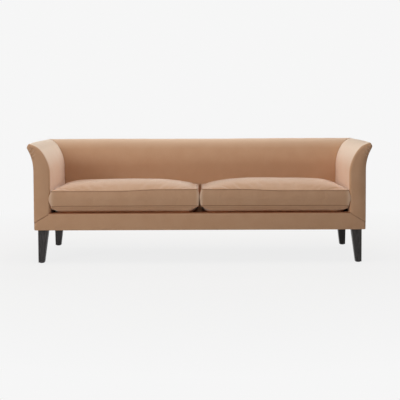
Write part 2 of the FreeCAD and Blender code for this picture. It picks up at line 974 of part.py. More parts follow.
def save_pair(name, right):
    """One node for each side, left and right as seen from the front."""
    save("right_" + name, right)
    save("left_" + name, mirrored(right))


def build_frame():
    save("front_rail", front_rail())
    save("back_rail", back_rail())
    save("seat_back_rail", seat_back_rail())
    save("cross_rail", cross_rail())
    save_pair("side_rail", side_rail())
    save_pair("arm_front_board", arm_front_board())
    save_pair("corner_post", corner_post())
    timber = timber_section(timber_base)
    save_pair("arm_top_rail", top_rail(arm_run(timber, board_back)))
    save("back_top_rail", top_rail(back_run(timber)))
    offset = half_inner - back_board_inset
    for name, centre in (("left", -offset), ("middle", 0), ("right", offset)):
        save(name + "_back_board", back_board(centre))
    save_group("leg_blocks", leg_blocks())


def build_shell():
    inside_panel = inside_panel_section(leg_height)
    save_pair("arm_inside_panel", shell_foam(arm_run(inside_panel, board_back)))
    save("back_inside_panel", shell_foam(back_run(inside_panel)))
    save_pair("arm_outside_panel", arm_run(outside_panel_section(), pad_back))
    save("back_outside_panel", back_run(outside_panel_section()))
    foam = foam_section(leg_height)
    save_pair("arm_foam", shell_foam(arm_run(foam, pad_back)))
    save("back_foam", shell_foam(back_run(foam)))
    save_pair("arm_front_pad", arm_front_pad())
    save("front_edge_pad", front_edge_pad())
    skin = arm_skin()
    save_pair("arm_cover", arm_cover(skin))
    save_pair("outside_arm_cover", outside_arm_cover())
    save("inside_back_cover", shell_foam(back_run(inside_skin_section(leg_height))))
    outside_back = back_run(outside_cover_section())
    save("outside_back_cover", outside_back.cut(leg_plates_space()))
    save("front_border_cover", front_border().cut(leg_plates_space()))
    save("dust_cover", dust_cover())


def build_deck():
    save_group("long_straps", long_straps())
    save_group("cross_straps", cross_straps())
    save("deck_pad", deck_sheet(pad_bottom, -cover))
    save("deck_cloth", deck_sheet(-cover, 0))


def build_legs():
    names = ("front_left_leg", "front_right_leg", "rear_left_leg", "rear_right_leg")
    for name, (x, y) in zip(names, leg_centres()):
        save(name, leg(x, y))
    save_group("leg_plates", leg_plates())
    save_group("leg_bolts", leg_bolts())
    save_group("glides", glides())


def build_cushions():
    core = core_box()
    form = cushion_form().cut(core).cut(zip_groove())
    save_pair("cushion", pitched(form))
    save_pair("cushion_core", pitched(core))
    low_piping = pitched(piping(low_seam, -1))
    high_piping = pitched(piping(high_seam, 1))
    save_pair("cushion_piping", Part.makeCompound([low_piping, high_piping]))
    save_pair("zip", pitched(zip_strip()))
    save_pair("zip_slider", pitched(zip_slider()))


os.makedirs("parts", exist_ok=True)
build_frame()
build_shell()
build_deck()
build_legs()
build_cushions()
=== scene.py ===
import math

import bmesh
import bpy
import numpy as np
from mathutils import Matrix, Vector


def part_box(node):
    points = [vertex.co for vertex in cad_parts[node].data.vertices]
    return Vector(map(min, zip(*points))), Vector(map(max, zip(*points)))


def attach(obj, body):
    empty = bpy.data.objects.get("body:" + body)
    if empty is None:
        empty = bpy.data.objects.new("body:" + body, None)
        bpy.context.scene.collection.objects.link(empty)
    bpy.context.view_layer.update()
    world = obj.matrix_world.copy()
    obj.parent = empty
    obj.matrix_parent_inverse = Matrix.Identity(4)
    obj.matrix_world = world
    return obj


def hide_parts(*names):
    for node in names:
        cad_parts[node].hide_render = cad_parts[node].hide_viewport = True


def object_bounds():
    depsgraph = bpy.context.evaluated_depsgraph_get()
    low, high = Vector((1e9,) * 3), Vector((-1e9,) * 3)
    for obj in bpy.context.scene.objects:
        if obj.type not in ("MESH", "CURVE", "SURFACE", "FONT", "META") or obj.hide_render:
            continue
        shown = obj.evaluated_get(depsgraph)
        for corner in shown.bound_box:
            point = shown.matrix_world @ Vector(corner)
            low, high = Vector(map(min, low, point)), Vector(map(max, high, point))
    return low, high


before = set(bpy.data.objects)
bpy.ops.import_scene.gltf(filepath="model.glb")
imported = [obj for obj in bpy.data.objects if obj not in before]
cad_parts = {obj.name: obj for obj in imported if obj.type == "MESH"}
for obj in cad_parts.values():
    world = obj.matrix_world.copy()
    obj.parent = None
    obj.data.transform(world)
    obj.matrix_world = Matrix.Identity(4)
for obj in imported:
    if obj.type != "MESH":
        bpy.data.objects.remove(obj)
cad_box = [list(corner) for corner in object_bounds()]


# Studio: a pale floor that fades into a pale room, broad soft lamps over the seat, at the front
# left and behind, and the camera where the photograph's perspective puts it, with the lens
# shifted down as product photographers do, which keeps the legs upright.
camera_place = Vector((0.027, -5.836, 1.020))
camera_tilt, camera_roll, camera_yaw = (math.radians(turn) for turn in (3.16, 0.241, -0.208))
focal_length = 82.16
lens_shift = (-0.0015, -0.13925)
sensor = 36.0
room_white = 0.9225
room_light = 0.03
floor_colour = "#E9E7E4"
floor_radius = 9.0
floor_shadow = 0.11
shadow_start, shadow_end = 1.2, 2.6


def linear(colour):
    """sRGB hex to linear: c / 12.92 up to 0.04045, above it ((c + 0.055) / 1.055) ** 2.4."""
    parts = np.array([int(colour[i:i + 2], 16) for i in (1, 3, 5)]) / 255
    parts = np.where(parts <= 0.04045, parts / 12.92, ((parts + 0.055) / 1.055) ** 2.4)
    return (*parts.tolist(), 1.0)


def add(tree, kind, inputs=None, **settings):
    """One node: settings are its own properties, inputs are values or the sockets that feed it."""
    made = tree.nodes.new("ShaderNode" + kind)
    for name, value in settings.items():
        setattr(made, name, value)
    for name, value in (inputs or {}).items():
        if isinstance(value, bpy.types.NodeSocket):
            tree.links.new(value, made.inputs[name])
        else:
            made.inputs[name].default_value = value
    return made


def calc(tree, operation, *values):
    """A number computed from up to three values or sockets."""
    return add(tree, "Math", dict(enumerate(values)), operation=operation).outputs[0]


def mapped(tree, value, low, high, new_low=0.0, new_high=1.0):
    """A socket's range from low to high, taken straight to a new range and held at its ends."""
    return add(tree, "MapRange", {"Value": value, "From Min": low, "From Max": high,
                                  "To Min": new_low, "To Max": new_high}).outputs[0]


def new_material(name):
    """An empty material, its node tree and the socket of the object's own coordinates."""
    made = bpy.data.materials.new(name)
    made.use_nodes = True
    tree = made.node_tree
    tree.nodes.clear()
    return made, tree, add(tree, "TexCoord").outputs["Object"]


def new_object(name, data):
    made = bpy.data.objects.new(name, data)
    bpy.context.scene.collection.objects.link(made)
    return made


seen = (Matrix.Rotation(-camera_roll, 3, "Y") @ Matrix.Rotation(camera_tilt, 3, "X")
        @ Matrix.Rotation(camera_yaw, 3, "Z"))
axes = Matrix((seen[0], seen[2], -seen[1])).transposed()
camera = new_object("camera", bpy.data.cameras.new("camera"))
camera.data.sensor_width = sensor
camera.data.lens = focal_length
camera.data.shift_x, camera.data.shift_y = lens_shift
camera.data.clip_end = 100
camera.matrix_world = Matrix.Translation(camera_place) @ axes.to_4x4()
bpy.context.scene.camera = camera
bpy.context.scene.view_settings.view_transform = "Standard"


def area_lamp(name, place, target, size, power, colour):
    """A square soft lamp at a place, turned to face a target."""
    lamp = bpy.data.lights.new(name, "AREA")
    lamp.shape = "RECTANGLE"
    lamp.size, lamp.size_y = size
    lamp.energy = power
    lamp.color = linear(colour)[:3]
    holder = new_object(name, lamp)
    holder.location = place
    aim = Vector(target) - Vector(place)
    holder.rotation_euler = aim.to_track_quat("-Z", "Y").to_euler()
    holder.visible_camera = False


area_lamp("overhead_lamp", (0, -0.55, 3.0), (0, -0.05, 0.3), (3.6, 1.8), 49, "#FFFCF8")
area_lamp("front_left_lamp", (-3.4, -3.8, 2.0), (0, 0, 0.4), (2.2, 1.8), 73, "#FFFBF6")
area_lamp("back_lamp", (0, 1.7, 2.3), (0, 0, 0.45), (3.2, 0.9), 29, "#FFFCF8")
area_lamp("rim_lamp", (0, 3.2, 2.2), (0, 0.2, 0.65), (4.2, 0.7), 30, "#FFFFFF")
area_lamp("front_lamp", (0, -5.5, 2.6), (0, 0, 0.4), (3.0, 1.5), 13, "#FFFFFF")
area_lamp("right_lamp", (4.2, 0.5, 1.4), (0.6, 0, 0.45), (1.8, 1.4), 12, "#FFFBF6")


def looked_at(tree):
    """1 for rays from the camera and through mirrors and glass, 0 for rays that bring light."""
    rays = add(tree, "LightPath").outputs
    direct = calc(tree, "MAXIMUM", rays["Is Camera Ray"], rays["Is Glossy Ray"])
    return calc(tree, "MAXIMUM", direct, rays["Is Transmission Ray"])


def mixed(tree, factor, low, high):
    """Two shaders mixed by a socket from 0 to 1."""
    return add(tree, "MixShader", {0: factor, 1: low.outputs[0], 2: high.outputs[0]})


white = {"Color": (room_white,) * 3 + (1,), "Strength": 1.0}
world = bpy.data.worlds.new("pale_room")
bpy.context.scene.world = world
world.use_nodes = True
sky = world.node_tree
sky.nodes.clear()
lit = add(sky, "Background", {"Color": (1, 1, 1, 1), "Strength": room_light})
room = mixed(sky, looked_at(sky), lit, add(sky, "Background", white))
add(sky, "OutputWorld", {"Surface": room.outputs[0]})

# Painted floor: it keeps the shadow under the sofa, fades to the room's white further out and
# lets the underside be seen from below.
floor_paint, tree, place = new_material("matt painted floor")
away = add(tree, "VectorMath", {0: place}, operation="LENGTH").outputs["Value"]
shadow = mapped(tree, away, shadow_start, shadow_end, floor_shadow, 0.0)
share = calc(tree, "MULTIPLY", calc(tree, "SUBTRACT", 1.0, shadow), looked_at(tree))
paint = mixed(tree, share, add(tree, "BsdfDiffuse", {"Color": linear(floor_colour)}),
              add(tree, "Emission", white))
underneath = add(tree, "NewGeometry").outputs["Backfacing"]
one_sided = mixed(tree, underneath, paint, add(tree, "BsdfTransparent"))
add(tree, "OutputMaterial", {"Surface": one_sided.outputs[0]})
turns = np.linspace(0, 2 * np.pi, 96, endpoint=False)
rim = np.stack([np.cos(turns), np.sin(turns), np.zeros_like(turns)], 1) * floor_radius
floor_mesh = bpy.data.meshes.new("floor")
floor_mesh.from_pydata(rim.tolist(), [], [list(range(len(turns)))])
floor_mesh.materials.append(floor_paint)
new_object("floor", floor_mesh)


# Timber frame: steamed beech rails, posts and top rails, plywood boards and hardboard panels,
# glued and screwed. It is all closed in, so it keeps the sawn look of a frame maker's shop.
def surface_shader(tree, colour, roughness, height, bump, distance, **constants):
    """Principled surface with a linked colour, roughness and bump; constants stay on its sockets."""
    lift = add(tree, "Bump", {"Height": height, "Strength": bump, "Distance": distance})
    shader = add(tree, "BsdfPrincipled", {"Base Color": colour, "Roughness": roughness,
                                          "Normal": lift.outputs[0], **constants})
    add(tree, "OutputMaterial", {"Surface": shader.outputs[0]})


def between(tree, factor, low, high):
    """Colour between two, each a hex colour or a socket, by a socket from 0 to 1."""
    low, high = [linear(end) if isinstance(end, str) else end for end in (low, high)]
    return add(tree, "Mix", {0: factor, 6: low, 7: high}, data_type="RGBA").outputs[2]


def noise(tree, place, scale, detail, **others):
    """Noise from 0 to 1 at a place, with its other inputs by their names."""
    inputs = {"Vector": place, "Scale": scale, "Detail": detail, **others}
    return add(tree, "TexNoise", inputs).outputs["Fac"]


def stretched(tree, place, scale):
    return add(tree, "Mapping", {"Vector": place, "Scale": scale}).outputs[0]


def grained(name, pale, dark, spacing, along, rough, bump):
    """Sawn timber: noise stretched twenty times along the grain, one streak per ring spacing."""
    made, tree, place = new_material(name)
    scale = [1 / spacing] * 3
    scale[along] /= 20
    grain = noise(tree, stretched(tree, place, scale), 1.0, 5.0, Roughness=0.6, Distortion=0.4)
    sharp = mapped(tree, grain, 0.36, 0.66)
    surface_shader(tree, between(tree, sharp, pale, dark), rough, sharp, bump, 0.0002)
    return made


def pair(*names):
    """The same names for the left and for the right side of the sofa."""
    return [side + name for name in names for side in ("left_", "right_")]


def dress(made, *names):
    """Gives CAD pieces that show as they are one material."""
    for name in names:
        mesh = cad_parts[name].data
        mesh.materials.clear()
        mesh.materials.append(made)


beech = {axis: grained(f"sawn beech, grain along {'XYZ'[axis]}", "#D2AB7E", "#B5895C", 0.004, axis,
                       0.62, 0.35) for axis in range(3)}
plywood = grained("birch plywood, sanded", "#DCC298", "#C5A172", 0.007, 2, 0.6, 0.2)
hardboard = grained("hardboard, pressed wood fibre", "#7F5C3E", "#664629", 0.0015, 2, 0.7, 0.3)
dress(beech[0], "front_rail", "back_rail", "seat_back_rail", "back_top_rail", "leg_blocks")
dress(beech[1], "cross_rail", *pair("side_rail", "arm_top_rail"))
dress(beech[2], *pair("corner_post"))
dress(plywood, "middle_back_board", *pair("back_board", "arm_front_board"))
dress(hardboard, "back_inside_panel", "back_outside_panel",
      *pair("arm_inside_panel", "arm_outside_panel"))


# Foam and webbing: cut polyurethane foam glued on the panels, rails and boards, and woven
# elastic straps stapled to the rails, which show only where the part is opened up.
def open_cell(name, pale, dark, cell):
    """Cut foam: Voronoi cells of the given size, dark at their middles."""
    made, tree, place = new_material(name)
    cells = add(tree, "TexVoronoi", {"Vector": place, "Scale": 1 / cell}).outputs["Distance"]
    surface_shader(tree, between(tree, cells, dark, pale), 0.95, cells, 0.5, 0.0004)
    return made


def woven_bands(name, pale, dark, pitch, rough):
    """Webbing: ribs across the strap from a sine of the object's X plus Y, one per pitch."""
    made, tree, place = new_material(name)
    wave = add(tree, "TexWave", {"Vector": place, "Scale": 1 / (20 * pitch), "Detail": 0.0},
               wave_type="BANDS", bands_direction="DIAGONAL", wave_profile="SIN")
    ribs = wave.outputs["Fac"]
    surface_shader(tree, between(tree, ribs, dark, pale), rough, ribs, 0.6, 0.0004)
    return made


dress(open_cell("polyurethane foam, knife cut", "#EFE6CC", "#CFC2A0", 0.0016), "back_foam",
      "front_edge_pad", "deck_pad", *pair("arm_foam", "arm_front_pad", "cushion_core"))
dress(woven_bands("woven elastic webbing", "#4A4340", "#231F1E", 0.0018, 0.8), "long_straps",
      "cross_straps")


# Upholstery cloth: a peach wool and cotton plain weave with a short brushed nap, which is
# paler where it is seen along the surface. It is cut into covers and sewn with plain seams.
# Painted colours: shade for seams and creases, a highlight, and warm bounce light.
cloth_seam = "#6A3A22"
cloth_brushed = "#ECD4BC"
painted_bounce_colour = "#DFAB7E"
cloth_glance = "#FFF8F1"
thread_spacing = 0.0026
thread_share = 0.35
fleck_size, fleck_share = 0.0035, 0.45
cloud_size, cloud_share = 0.09, 0.55
nap_height = 0.0009


def upholstery(name, pale, deep, seam_colour=cloth_seam, sheen=0.9):
    """Plain weave: the product of two sines, one along each thread, over soft clouds of colour.

    The real threads are 0.7 mm apart, too fine to show, so they are drawn 2.6 mm apart. Three
    point attributes paint light and shade into the colour: painted shade, 1 on a sewn line or a
    crease and 0 away from it, takes the colour down to the shade colour; a painted highlight
    makes the cloth paler; and painted warm bounce light makes it warmer.
    """
    made, tree, place = new_material(name)
    threads = add(tree, "SeparateXYZ", {0: add(tree, "UVMap", uv_map="cloth").outputs[0]}).outputs
    waves = [calc(tree, "SINE", calc(tree, "MULTIPLY", threads[axis], math.pi / thread_spacing))
             for axis in "XY"]
    fleck = noise(tree, place, 1 / fleck_size, 2.0)
    cloud = noise(tree, place, 1 / cloud_size, 3.0)
    mottle = calc(tree, "MULTIPLY", fleck, fleck_share)
    tone = calc(tree, "MULTIPLY_ADD", cloud, cloud_share, mottle)
    colour = between(tree, mapped(tree, tone, 0.20, 0.80), deep, pale)
    # Painted warm bounce light, painted highlight and painted shade, each mixed in by its attribute.
    for mark, shade in (("painted_warm_bounce", painted_bounce_colour), ("brushed", cloth_brushed), ("seam", seam_colour)):
        marked = add(tree, "Attribute", attribute_name=mark).outputs["Fac"]
        colour = between(tree, marked, colour, shade)
    weave = calc(tree, "MULTIPLY", *waves)
    height = calc(tree, "MULTIPLY_ADD", weave, thread_share, fleck)
    constants = {"Sheen Weight": sheen, "Sheen Roughness": 0.40, "Sheen Tint": linear(cloth_glance),
                 "Specular IOR Level": 0.15}
    surface_shader(tree, colour, 0.92, height, 0.30, nap_height, **constants)
    return made


# Where cushions and covers press, the nap lies flat with no sheen; its warmer colour is painted shade.
shell_cloth = upholstery("brushed wool-cotton plain weave", "#CDA687", "#C29878")
pressed_shaded_cloth = upholstery("wool-cotton plain weave, nap pressed flat", "#D8A47E", "#CC9872",
                           "#82421F", sheen=0.0)

# The arms and the back share one section, upright inside and flaring out to a rolled lip on
# arcs, each with a centre, a radius and the angle where it ends. Distances run outwards from
# the inside face and heights from the floor, as in the CAD.
half_inner = 0.903
half_width = 1.000
wall = 0.097
body_front = cad_box[0][1]
back_inside = body_front + 0.600
frame_foot = 0.2008
seat_edge = 0.303
deck_angle = math.radians(2)
deck_fall = math.tan(deck_angle)
section_foot = 0.300
low_centre, low_radius, low_end = (0.210, 0.54145), 0.210, math.radians(40)
high_centre, high_radius, high_end = (0.13723, 0.60252), 0.115, math.radians(80)
lip_centre, lip_radius, lip_end = (0.11986, 0.70100), 0.015, math.radians(210)
hollow_centre, hollow_radius, hollow_turn = (0.36460, 0.55970), 0.26760, math.radians(30)
inside_straight = low_centre[1] - section_foot
low_length = low_radius * low_end
high_length = high_radius * (high_end - low_end)
lip_length = lip_radius * (lip_end - high_end)
inside_length = inside_straight + low_length + high_length + lip_length
hollow_length = hollow_radius * hollow_turn
cover_thickness = 0.0015
proud = 0.0012
stapled = 0.0003
crown_length = 0.14
front_tack = 0.013
lip_plain = 0.030
mitre_width, mitre_depth, mitre_shade = 0.003, 0.0008, 0.25
seam_width = 0.004
lip_seam_width = 0.003


def on_arc(centre, radius, angle):
    """Point and outward normal on a circle, at an angle that starts inside and climbs over."""
    point = (centre[0] - radius * np.cos(angle), centre[1] + radius * np.sin(angle))
    return point[0], point[1], -np.cos(angle), np.sin(angle)


def inside_outline(s):
    """Inside outline by its length s from its foot: straight, then three arcs end to end.

    Gives the distance outwards, the height, and the two parts of the outward normal.
    """
    straight = (0 * s, section_foot + s, 0 * s - 1, 0 * s)
    a = s - inside_straight
    b = a - low_length
    c = b - high_length
    pieces = [straight, on_arc(low_centre, low_radius, a / low_radius),
              on_arc(high_centre, high_radius, low_end + b / high_radius),
              on_arc(lip_centre, lip_radius, high_end + c / lip_radius)]
    tests = [a < 0, b < 0, c < 0]
    return [np.select(tests, part[:3], part[3]) for part in zip(*pieces)]


def outside_outline(w, foot):
    """Outside outline by its length w from a foot height: the straight wall, then the hollow arc.

    On the arc, the angle is w past the wall divided by the radius.
    """
    straight = hollow_centre[1] - foot
    turn = math.pi + np.clip(w - straight, 0, None) / hollow_radius
    d = hollow_centre[0] + hollow_radius * np.cos(turn)
    z = hollow_centre[1] - hollow_radius * np.sin(turn)
    on_wall = w < straight
    return (np.where(on_wall, wall, d), np.where(on_wall, foot + w, z),
            np.where(on_wall, 1.0, -np.cos(turn)), np.where(on_wall, 0.0, np.sin(turn)))


def spaced(count, pull):
    """Numbers from 0 to 1 that lie closer at both ends: t - pull * sin(2 pi t) / (2 pi)."""
    t = np.linspace(0, 1, count)
    return t - pull * np.sin(2 * np.pi * t) / (2 * np.pi)


def ramp(distance, width):
    """0 before a point, then rising straight to 1 over the width, by the distance past it."""
    return np.clip(distance / width, 0, 1)


def unevenness(a, b, seed):
    """Soft unevenness of stretched cloth, -1 to 1: five crossed sines of random length."""
    rng = np.random.default_rng(seed)
    total = 0
    for _ in range(5):
        angle, length, phase = rng.uniform(0, np.pi), rng.uniform(0.09, 0.34), rng.uniform(0, 6.28)
        total = total + np.sin((a * np.cos(angle) + b * np.sin(angle)) * 2 * np.pi / length + phase)
    return total / 5


def crease(distance, width):
    """1 on a sewn line, falling off as exp(-(distance / width) ** 2)."""
    return np.exp(-(distance / width) ** 2)


def together(*parts):
    """Arrays of numbers, spread to one grid, as the coordinates of its points."""
    return np.stack(np.broadcast_arrays(*parts), -1)


def lengths(points):
    """Length along each path of points up to each of its points."""
    steps = np.linalg.norm(np.diff(points, axis=-2), axis=-1)
    return np.concatenate([0 * steps[..., :1], np.cumsum(steps, -1)], -1)


def grid_quads(rows, columns):
    """Quads of a grid whose points are numbered row by row."""
    index = np.arange(rows * columns).reshape(rows, columns)
    quads = np.stack([index[:-1, :-1], index[:-1, 1:], index[1:, 1:], index[1:, :-1]], -1)
    return quads.reshape(-1, 4)


def read(items, name):
    """A vector of each item, such as a vertex's place, as rows of three numbers."""
    values = np.zeros(len(items) * 3, np.float32)
    items.foreach_get(name, values)
    return values.reshape(-1, 3).astype(float)


def dress_mesh(mesh, uv, **marks):
    """Lays the threads by each face corner's place in the cloth, and marks the points."""
    layer = mesh.uv_layers.new(name="cloth")
    layer.data.foreach_set("uv", uv.astype(np.float32).ravel())
    for title, value in marks.items():
        mark = mesh.attributes.new(title, "FLOAT", "POINT")
        mark.data.foreach_set("value", value.astype(np.float32).ravel())


def press_and_shade(mesh, test):
    """Gives the faces whose centres pass the second material: nap pressed flat, painted warm shade."""
    pressed = test(*read(mesh.polygons, "center").T)
    mesh.materials.append(pressed_shaded_cloth)
    mesh.polygons.foreach_set("material_index", pressed.astype(np.int32))


def thicken(piece, thickness):
    """Gives a surface the thickness of its cloth, inwards."""
    solid = piece.modifiers.new("cloth thickness", "SOLIDIFY")
    solid.thickness = thickness
    solid.offset = -1


def cloth_piece(name, points, cloth_uv, flip, made, levels=1, thickness=cover_thickness, **marks):
    """A grid of points as one smooth piece of cloth, with its threads along the grid.

    cloth_uv is in metres along both threads, and the marks are from 0 to 1 at the points.
    Doubled points are merged, then one subdivision rounds the grid and the cloth thickens.
    """
    quads = grid_quads(*points.shape[:2])
    if flip:
        quads = quads[:, ::-1]
    mesh = bpy.data.meshes.new(name)
    mesh.from_pydata(points.reshape(-1, 3).tolist(), [], quads.tolist())
    dress_mesh(mesh, cloth_uv.reshape(-1, 2)[quads.ravel()], **marks)
    work = bmesh.new()
    work.from_mesh(mesh)
    bmesh.ops.remove_doubles(work, verts=work.verts, dist=2e-5)
    work.to_mesh(mesh)
    work.free()
    mesh.polygons.foreach_set("use_smooth", [True] * len(mesh.polygons))
    mesh.materials.append(made)
    piece = new_object(name, mesh)
    if levels:
        smooth = piece.modifiers.new("rounded", "SUBSURF")
        smooth.levels = smooth.render_levels = levels
    if thickness:
        thicken(piece, thickness)
    return piece


def cover(name, node, points, cloth_uv, flip, **marks):
    """A cut of the shell's cloth over its foam, in the place of one of the CAD's covers."""
    piece = cloth_piece(name, points, cloth_uv, flip, shell_cloth, **marks)
    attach(piece, "frame")
    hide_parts(node)
    return piece


# Inside arm covers: one cut of cloth each, from the deck up the inside, over the crown and
# round the arm front to a seam at its outside edge, with a mitred seam where the back starts.
front_rows = np.concatenate([np.linspace(0, inside_length - crown_length, 46, endpoint=False),
                             np.linspace(inside_length - crown_length, inside_length, 48)])
run_columns = 58
mitre_foot = 0.244
mitre_top = 0.300
mitre_reach = 0.035
front_lift = 0.0075
front_bulge = 0.0055
front_soft, soft_loss = 0.021, 0.009
front_firm, firm_gain = 0.008, 0.004
arm_uneven, arm_full, arm_full_from = 0.0008, 0.0020, 0.45
lift_from, lift_over = 0.62, 0.06
bulge_from, bulge_over, bulge_low, full_width = 0.02, 0.12, 0.35, 0.08
# Painted shade at the foot and outer seam, painted highlight up high, painted warm bounce below.
foot_tuck, foot_width, foot_shade = 0.0010, 0.0035, 0.4
outer_seam_shade = (0.35, 0.9)
under_outside_cover = 0.0002
brushed_from, brushed_over = 0.57, 0.11
bounce_from, bounce_over, bounce_loss = 0.55, 0.10, 0.7


def turned_edge(d, z, nd, nz, soft, lift, y, turn):
    """Quarter circle round an edge of the arm front; its centre lies soft inside the cloth."""
    out = (soft + lift) * np.cos(turn)
    return together(d - nd * soft + nd * out, y - (soft + proud) * np.sin(turn),
                    z - nz * soft + nz * out)


def arm_surface(side, seed):
    """Arm cover as a grid: rows follow the section, columns run along the arm and round it.

    They turn over the front edge on a quarter circle, go straight across the front and turn
    over its outside edge. The first edge gets tighter, and the second softer, with the
    square of the share of the section's length.
    """
    s = front_rows[:, None]
    d, z, nd, nz = inside_outline(s)
    share = s / inside_length
    outer_total = hollow_centre[1] - mitre_foot + hollow_length
    od, oz, ond, onz = outside_outline(share * outer_total, mitre_foot)
    soft = front_soft - soft_loss * share ** 2
    firm = front_firm + firm_gain * share ** 2
    t = spaced(run_columns, 0.75)[None, :]
    start, end = back_inside + d, body_front + soft
    y = start + (end - start) * t
    fall = deck_fall * (y - body_front) * np.clip(1 - s / inside_straight, 0, 1)
    swell = arm_uneven * unevenness(y, z + 0 * y, seed) + arm_full * np.sin(np.pi * t) * (
        z > arm_full_from)
    upwards = ramp(z - lift_from, lift_over) * np.clip(nz, 0, 1) ** np.where(nd > 0, 6, 2)
    swell = swell + front_lift * upwards * np.clip(1.6 * t - 0.3, 0, 1)
    swell = swell + proud - mitre_depth * crease(start - y, mitre_width)
    run = np.stack([d + nd * swell, y, z - fall + nz * swell], -1)
    turn = np.linspace(0, np.pi / 2, 9)[None, 1:]
    lift = proud + front_lift * upwards * np.cos(turn)
    inner = turned_edge(d, z, nd, nz, soft, lift, body_front + soft, turn)
    t = np.linspace(0, 1, 20)[None, 1:-1]
    fd, fz = d - nd * soft, z - nz * soft
    gd, gz = od - ond * firm, oz - onz * firm
    bulge = proud + front_bulge * np.sin(np.pi * t) * ramp(np.hypot(gd - fd, gz - fz), full_width) * (
        bulge_low + (1 - bulge_low) * ramp(s - bulge_from, bulge_over))
    front = np.stack([fd + (gd - fd) * t, body_front - bulge, fz + (gz - fz) * t], -1)
    turn = np.linspace(np.pi / 2, 0, 7)[None, :]
    outer = turned_edge(od, oz, ond, onz, firm, proud, body_front + firm, turn)
    back_edge = together(od + under_outside_cover * ond, body_front + front_tack,
                         oz + under_outside_cover * onz)
    points = np.concatenate([run, inner, front, outer, back_edge], 1)
    below = crease(s, foot_width) * (points[..., 1] < body_front + 0.02)
    points[..., 1] += foot_tuck * below
    first = points[0]
    slanted = mitre_top - first[:, 0] / wall * (mitre_top - mitre_foot)
    shift = np.where(first[:, 1] < body_front + front_soft + 0.0005, slanted - first[:, 2], 0)
    points[..., 2] += shift * crease(s, mitre_reach)
    along = lengths(points)
    cloth_uv = together(along - along[:, run_columns - 1:run_columns], s)
    # Painted shade on foot, mitre and outer seam; painted highlight above, warm bounce light below.
    seam = foot_shade * below ** 2
    mitred = mitre_shade * crease(start - y, mitre_width)
    seam[:, :run_columns] = np.maximum(seam[:, :run_columns], mitred)
    seam[:, -2:] = outer_seam_shade
    brushed = ramp(points[..., 2] - brushed_from, brushed_over) * (s < inside_length - lip_plain)
    brushed[:, run_columns + 2:] = 0
    painted_warm_bounce = 1 - bounce_loss * ramp(points[..., 2] - bounce_from, bounce_over)
    painted_warm_bounce *= ramp(run_columns + 4 - np.arange(points.shape[1]), 5)
    points[..., 0] = side * (half_inner + points[..., 0])
    return points, cloth_uv, {"seam": seam, "brushed": brushed, "painted_warm_bounce": painted_warm_bounce}


for side, label in ((-1, "left"), (1, "right")):
    points, cloth_uv, marks = arm_surface(side, 3 + side)
    cover(label + "_arm_upholstery", label + "_arm_cover", points, cloth_uv, side < 0, **marks)


# Pleats: the cloth that is left over where the arm front narrows to the lip is folded into
# three small pleats, which run in from the outside edge and are pulled flat.
pleat_lines = (((0.1190, 0.6790), (0.1000, 0.6990)), ((0.1115, 0.6600), (0.0860, 0.6860)),
               ((0.1030, 0.6410), (0.0790, 0.6640)))
pleat_width = 0.0070
pleat_height = 0.0030
pleat_stand = 0.0026
pleat_thickness = 0.0006
pleat_across = np.array([[0, 0.25, 0.5, 0.75, 0.93, 1.0, 1.0, 0.92]])
pleat_rise = np.array([[0, 0.10, 0.30, 0.62, 0.95, 0.85, 0.15, -0.6]])
# Across each pleat: painted shade in its tuck and a painted highlight on its crest.
pleat_tuck_shade = np.array([[0, 0, 0, 0, 0, 0.1, 0.8, 0.8]])
pleat_crest_highlight = np.array([[0, 0, 0.1, 0.4, 0.5, 0.3, 0, 0]])


def pleat_surface(side, start, end):
    """One fold as a closed wedge: it rises over its width and tucks back under sharply.

    Its height across is the list pleat_rise; along, it dies out as sin(pi v) ** 0.5.
    """
    start, end = np.array(start), np.array(end)
    reach = np.linalg.norm(end - start)
    along = (end - start) / reach
    over = np.array([along[1], -along[0]])
    v, u = np.linspace(0, 1, 22)[:, None], pleat_across
    fade = np.sin(np.pi * np.clip(v * 0.94 + 0.03, 0, 1)) ** 0.5
    width = pleat_width * (1.15 - 0.55 * v)
    d = start[0] + along[0] * reach * v + over[0] * width * (u - 0.5)
    z = start[1] + along[1] * reach * v + over[1] * width * (u - 0.5)
    y = body_front - proud - pleat_stand - pleat_height * pleat_rise * fade
    points = np.stack([side * (half_inner + d), y, z], -1)
    # Painted shade in the tuck, painted highlight on the crest.
    marks = {"seam": pleat_tuck_shade + 0 * d, "brushed": pleat_crest_highlight * fade}
    return points, together(v * 0.03, u * 0.006), marks


def joined(name, body, pieces):
    """Pieces of one kind joined as one, which then rides on a body."""
    bpy.context.view_layer.update()
    work = bmesh.new()
    for part in pieces:
        work.from_mesh(part.data)
        mesh = part.data
        bpy.data.objects.remove(part)
        bpy.data.meshes.remove(mesh)
    mesh = bpy.data.meshes.new(name)
    work.to_mesh(mesh)
    work.free()
    piece = new_object(name, mesh)
    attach(piece, body)
    return piece


for side, label in ((-1, "left"), (1, "right")):
    folds = []
    for place, (start, end) in enumerate(pleat_lines):
        points, cloth_uv, marks = pleat_surface(side, start, end)
        folds.append(cloth_piece(f"{label}_pleat_{place}", points, cloth_uv, side > 0, shell_cloth,
                                 levels=0, thickness=0, **marks))
    piece = joined(label + "_arm_pleats", "frame", folds)
    piece.data.materials.append(shell_cloth)
    thicken(piece, pleat_thickness)


# Inside back cover: one cut from the deck up over the crown to under the lip, mitred into the
# arm covers at both ends. Between the arms the crown hangs a few millimetres lower.
crown_sag = 0.0026
crown_stand = 0.0010
sag_reach = 0.80
sag_from, sag_over = 0.50, 0.2
back_uneven, back_full, back_full_from = 0.0010, 0.0025, 0.42
# A painted highlight along the crown.
back_brushed, back_brushed_from, back_brushed_over = 0.35, 0.655, 0.05


def sag(x, z):
    """How far the crown hangs: (1 - (x / reach) ** 2) ** 2 across, from nothing at 0.5 m up.

    The stand, how much prouder it is at the ends than in the middle, is taken off the sag.
    """
    across = np.clip(1 - (x / sag_reach) ** 2, 0, None) ** 2
    return ((crown_sag + crown_stand) * across - crown_stand) * ramp(z - sag_from, sag_over)


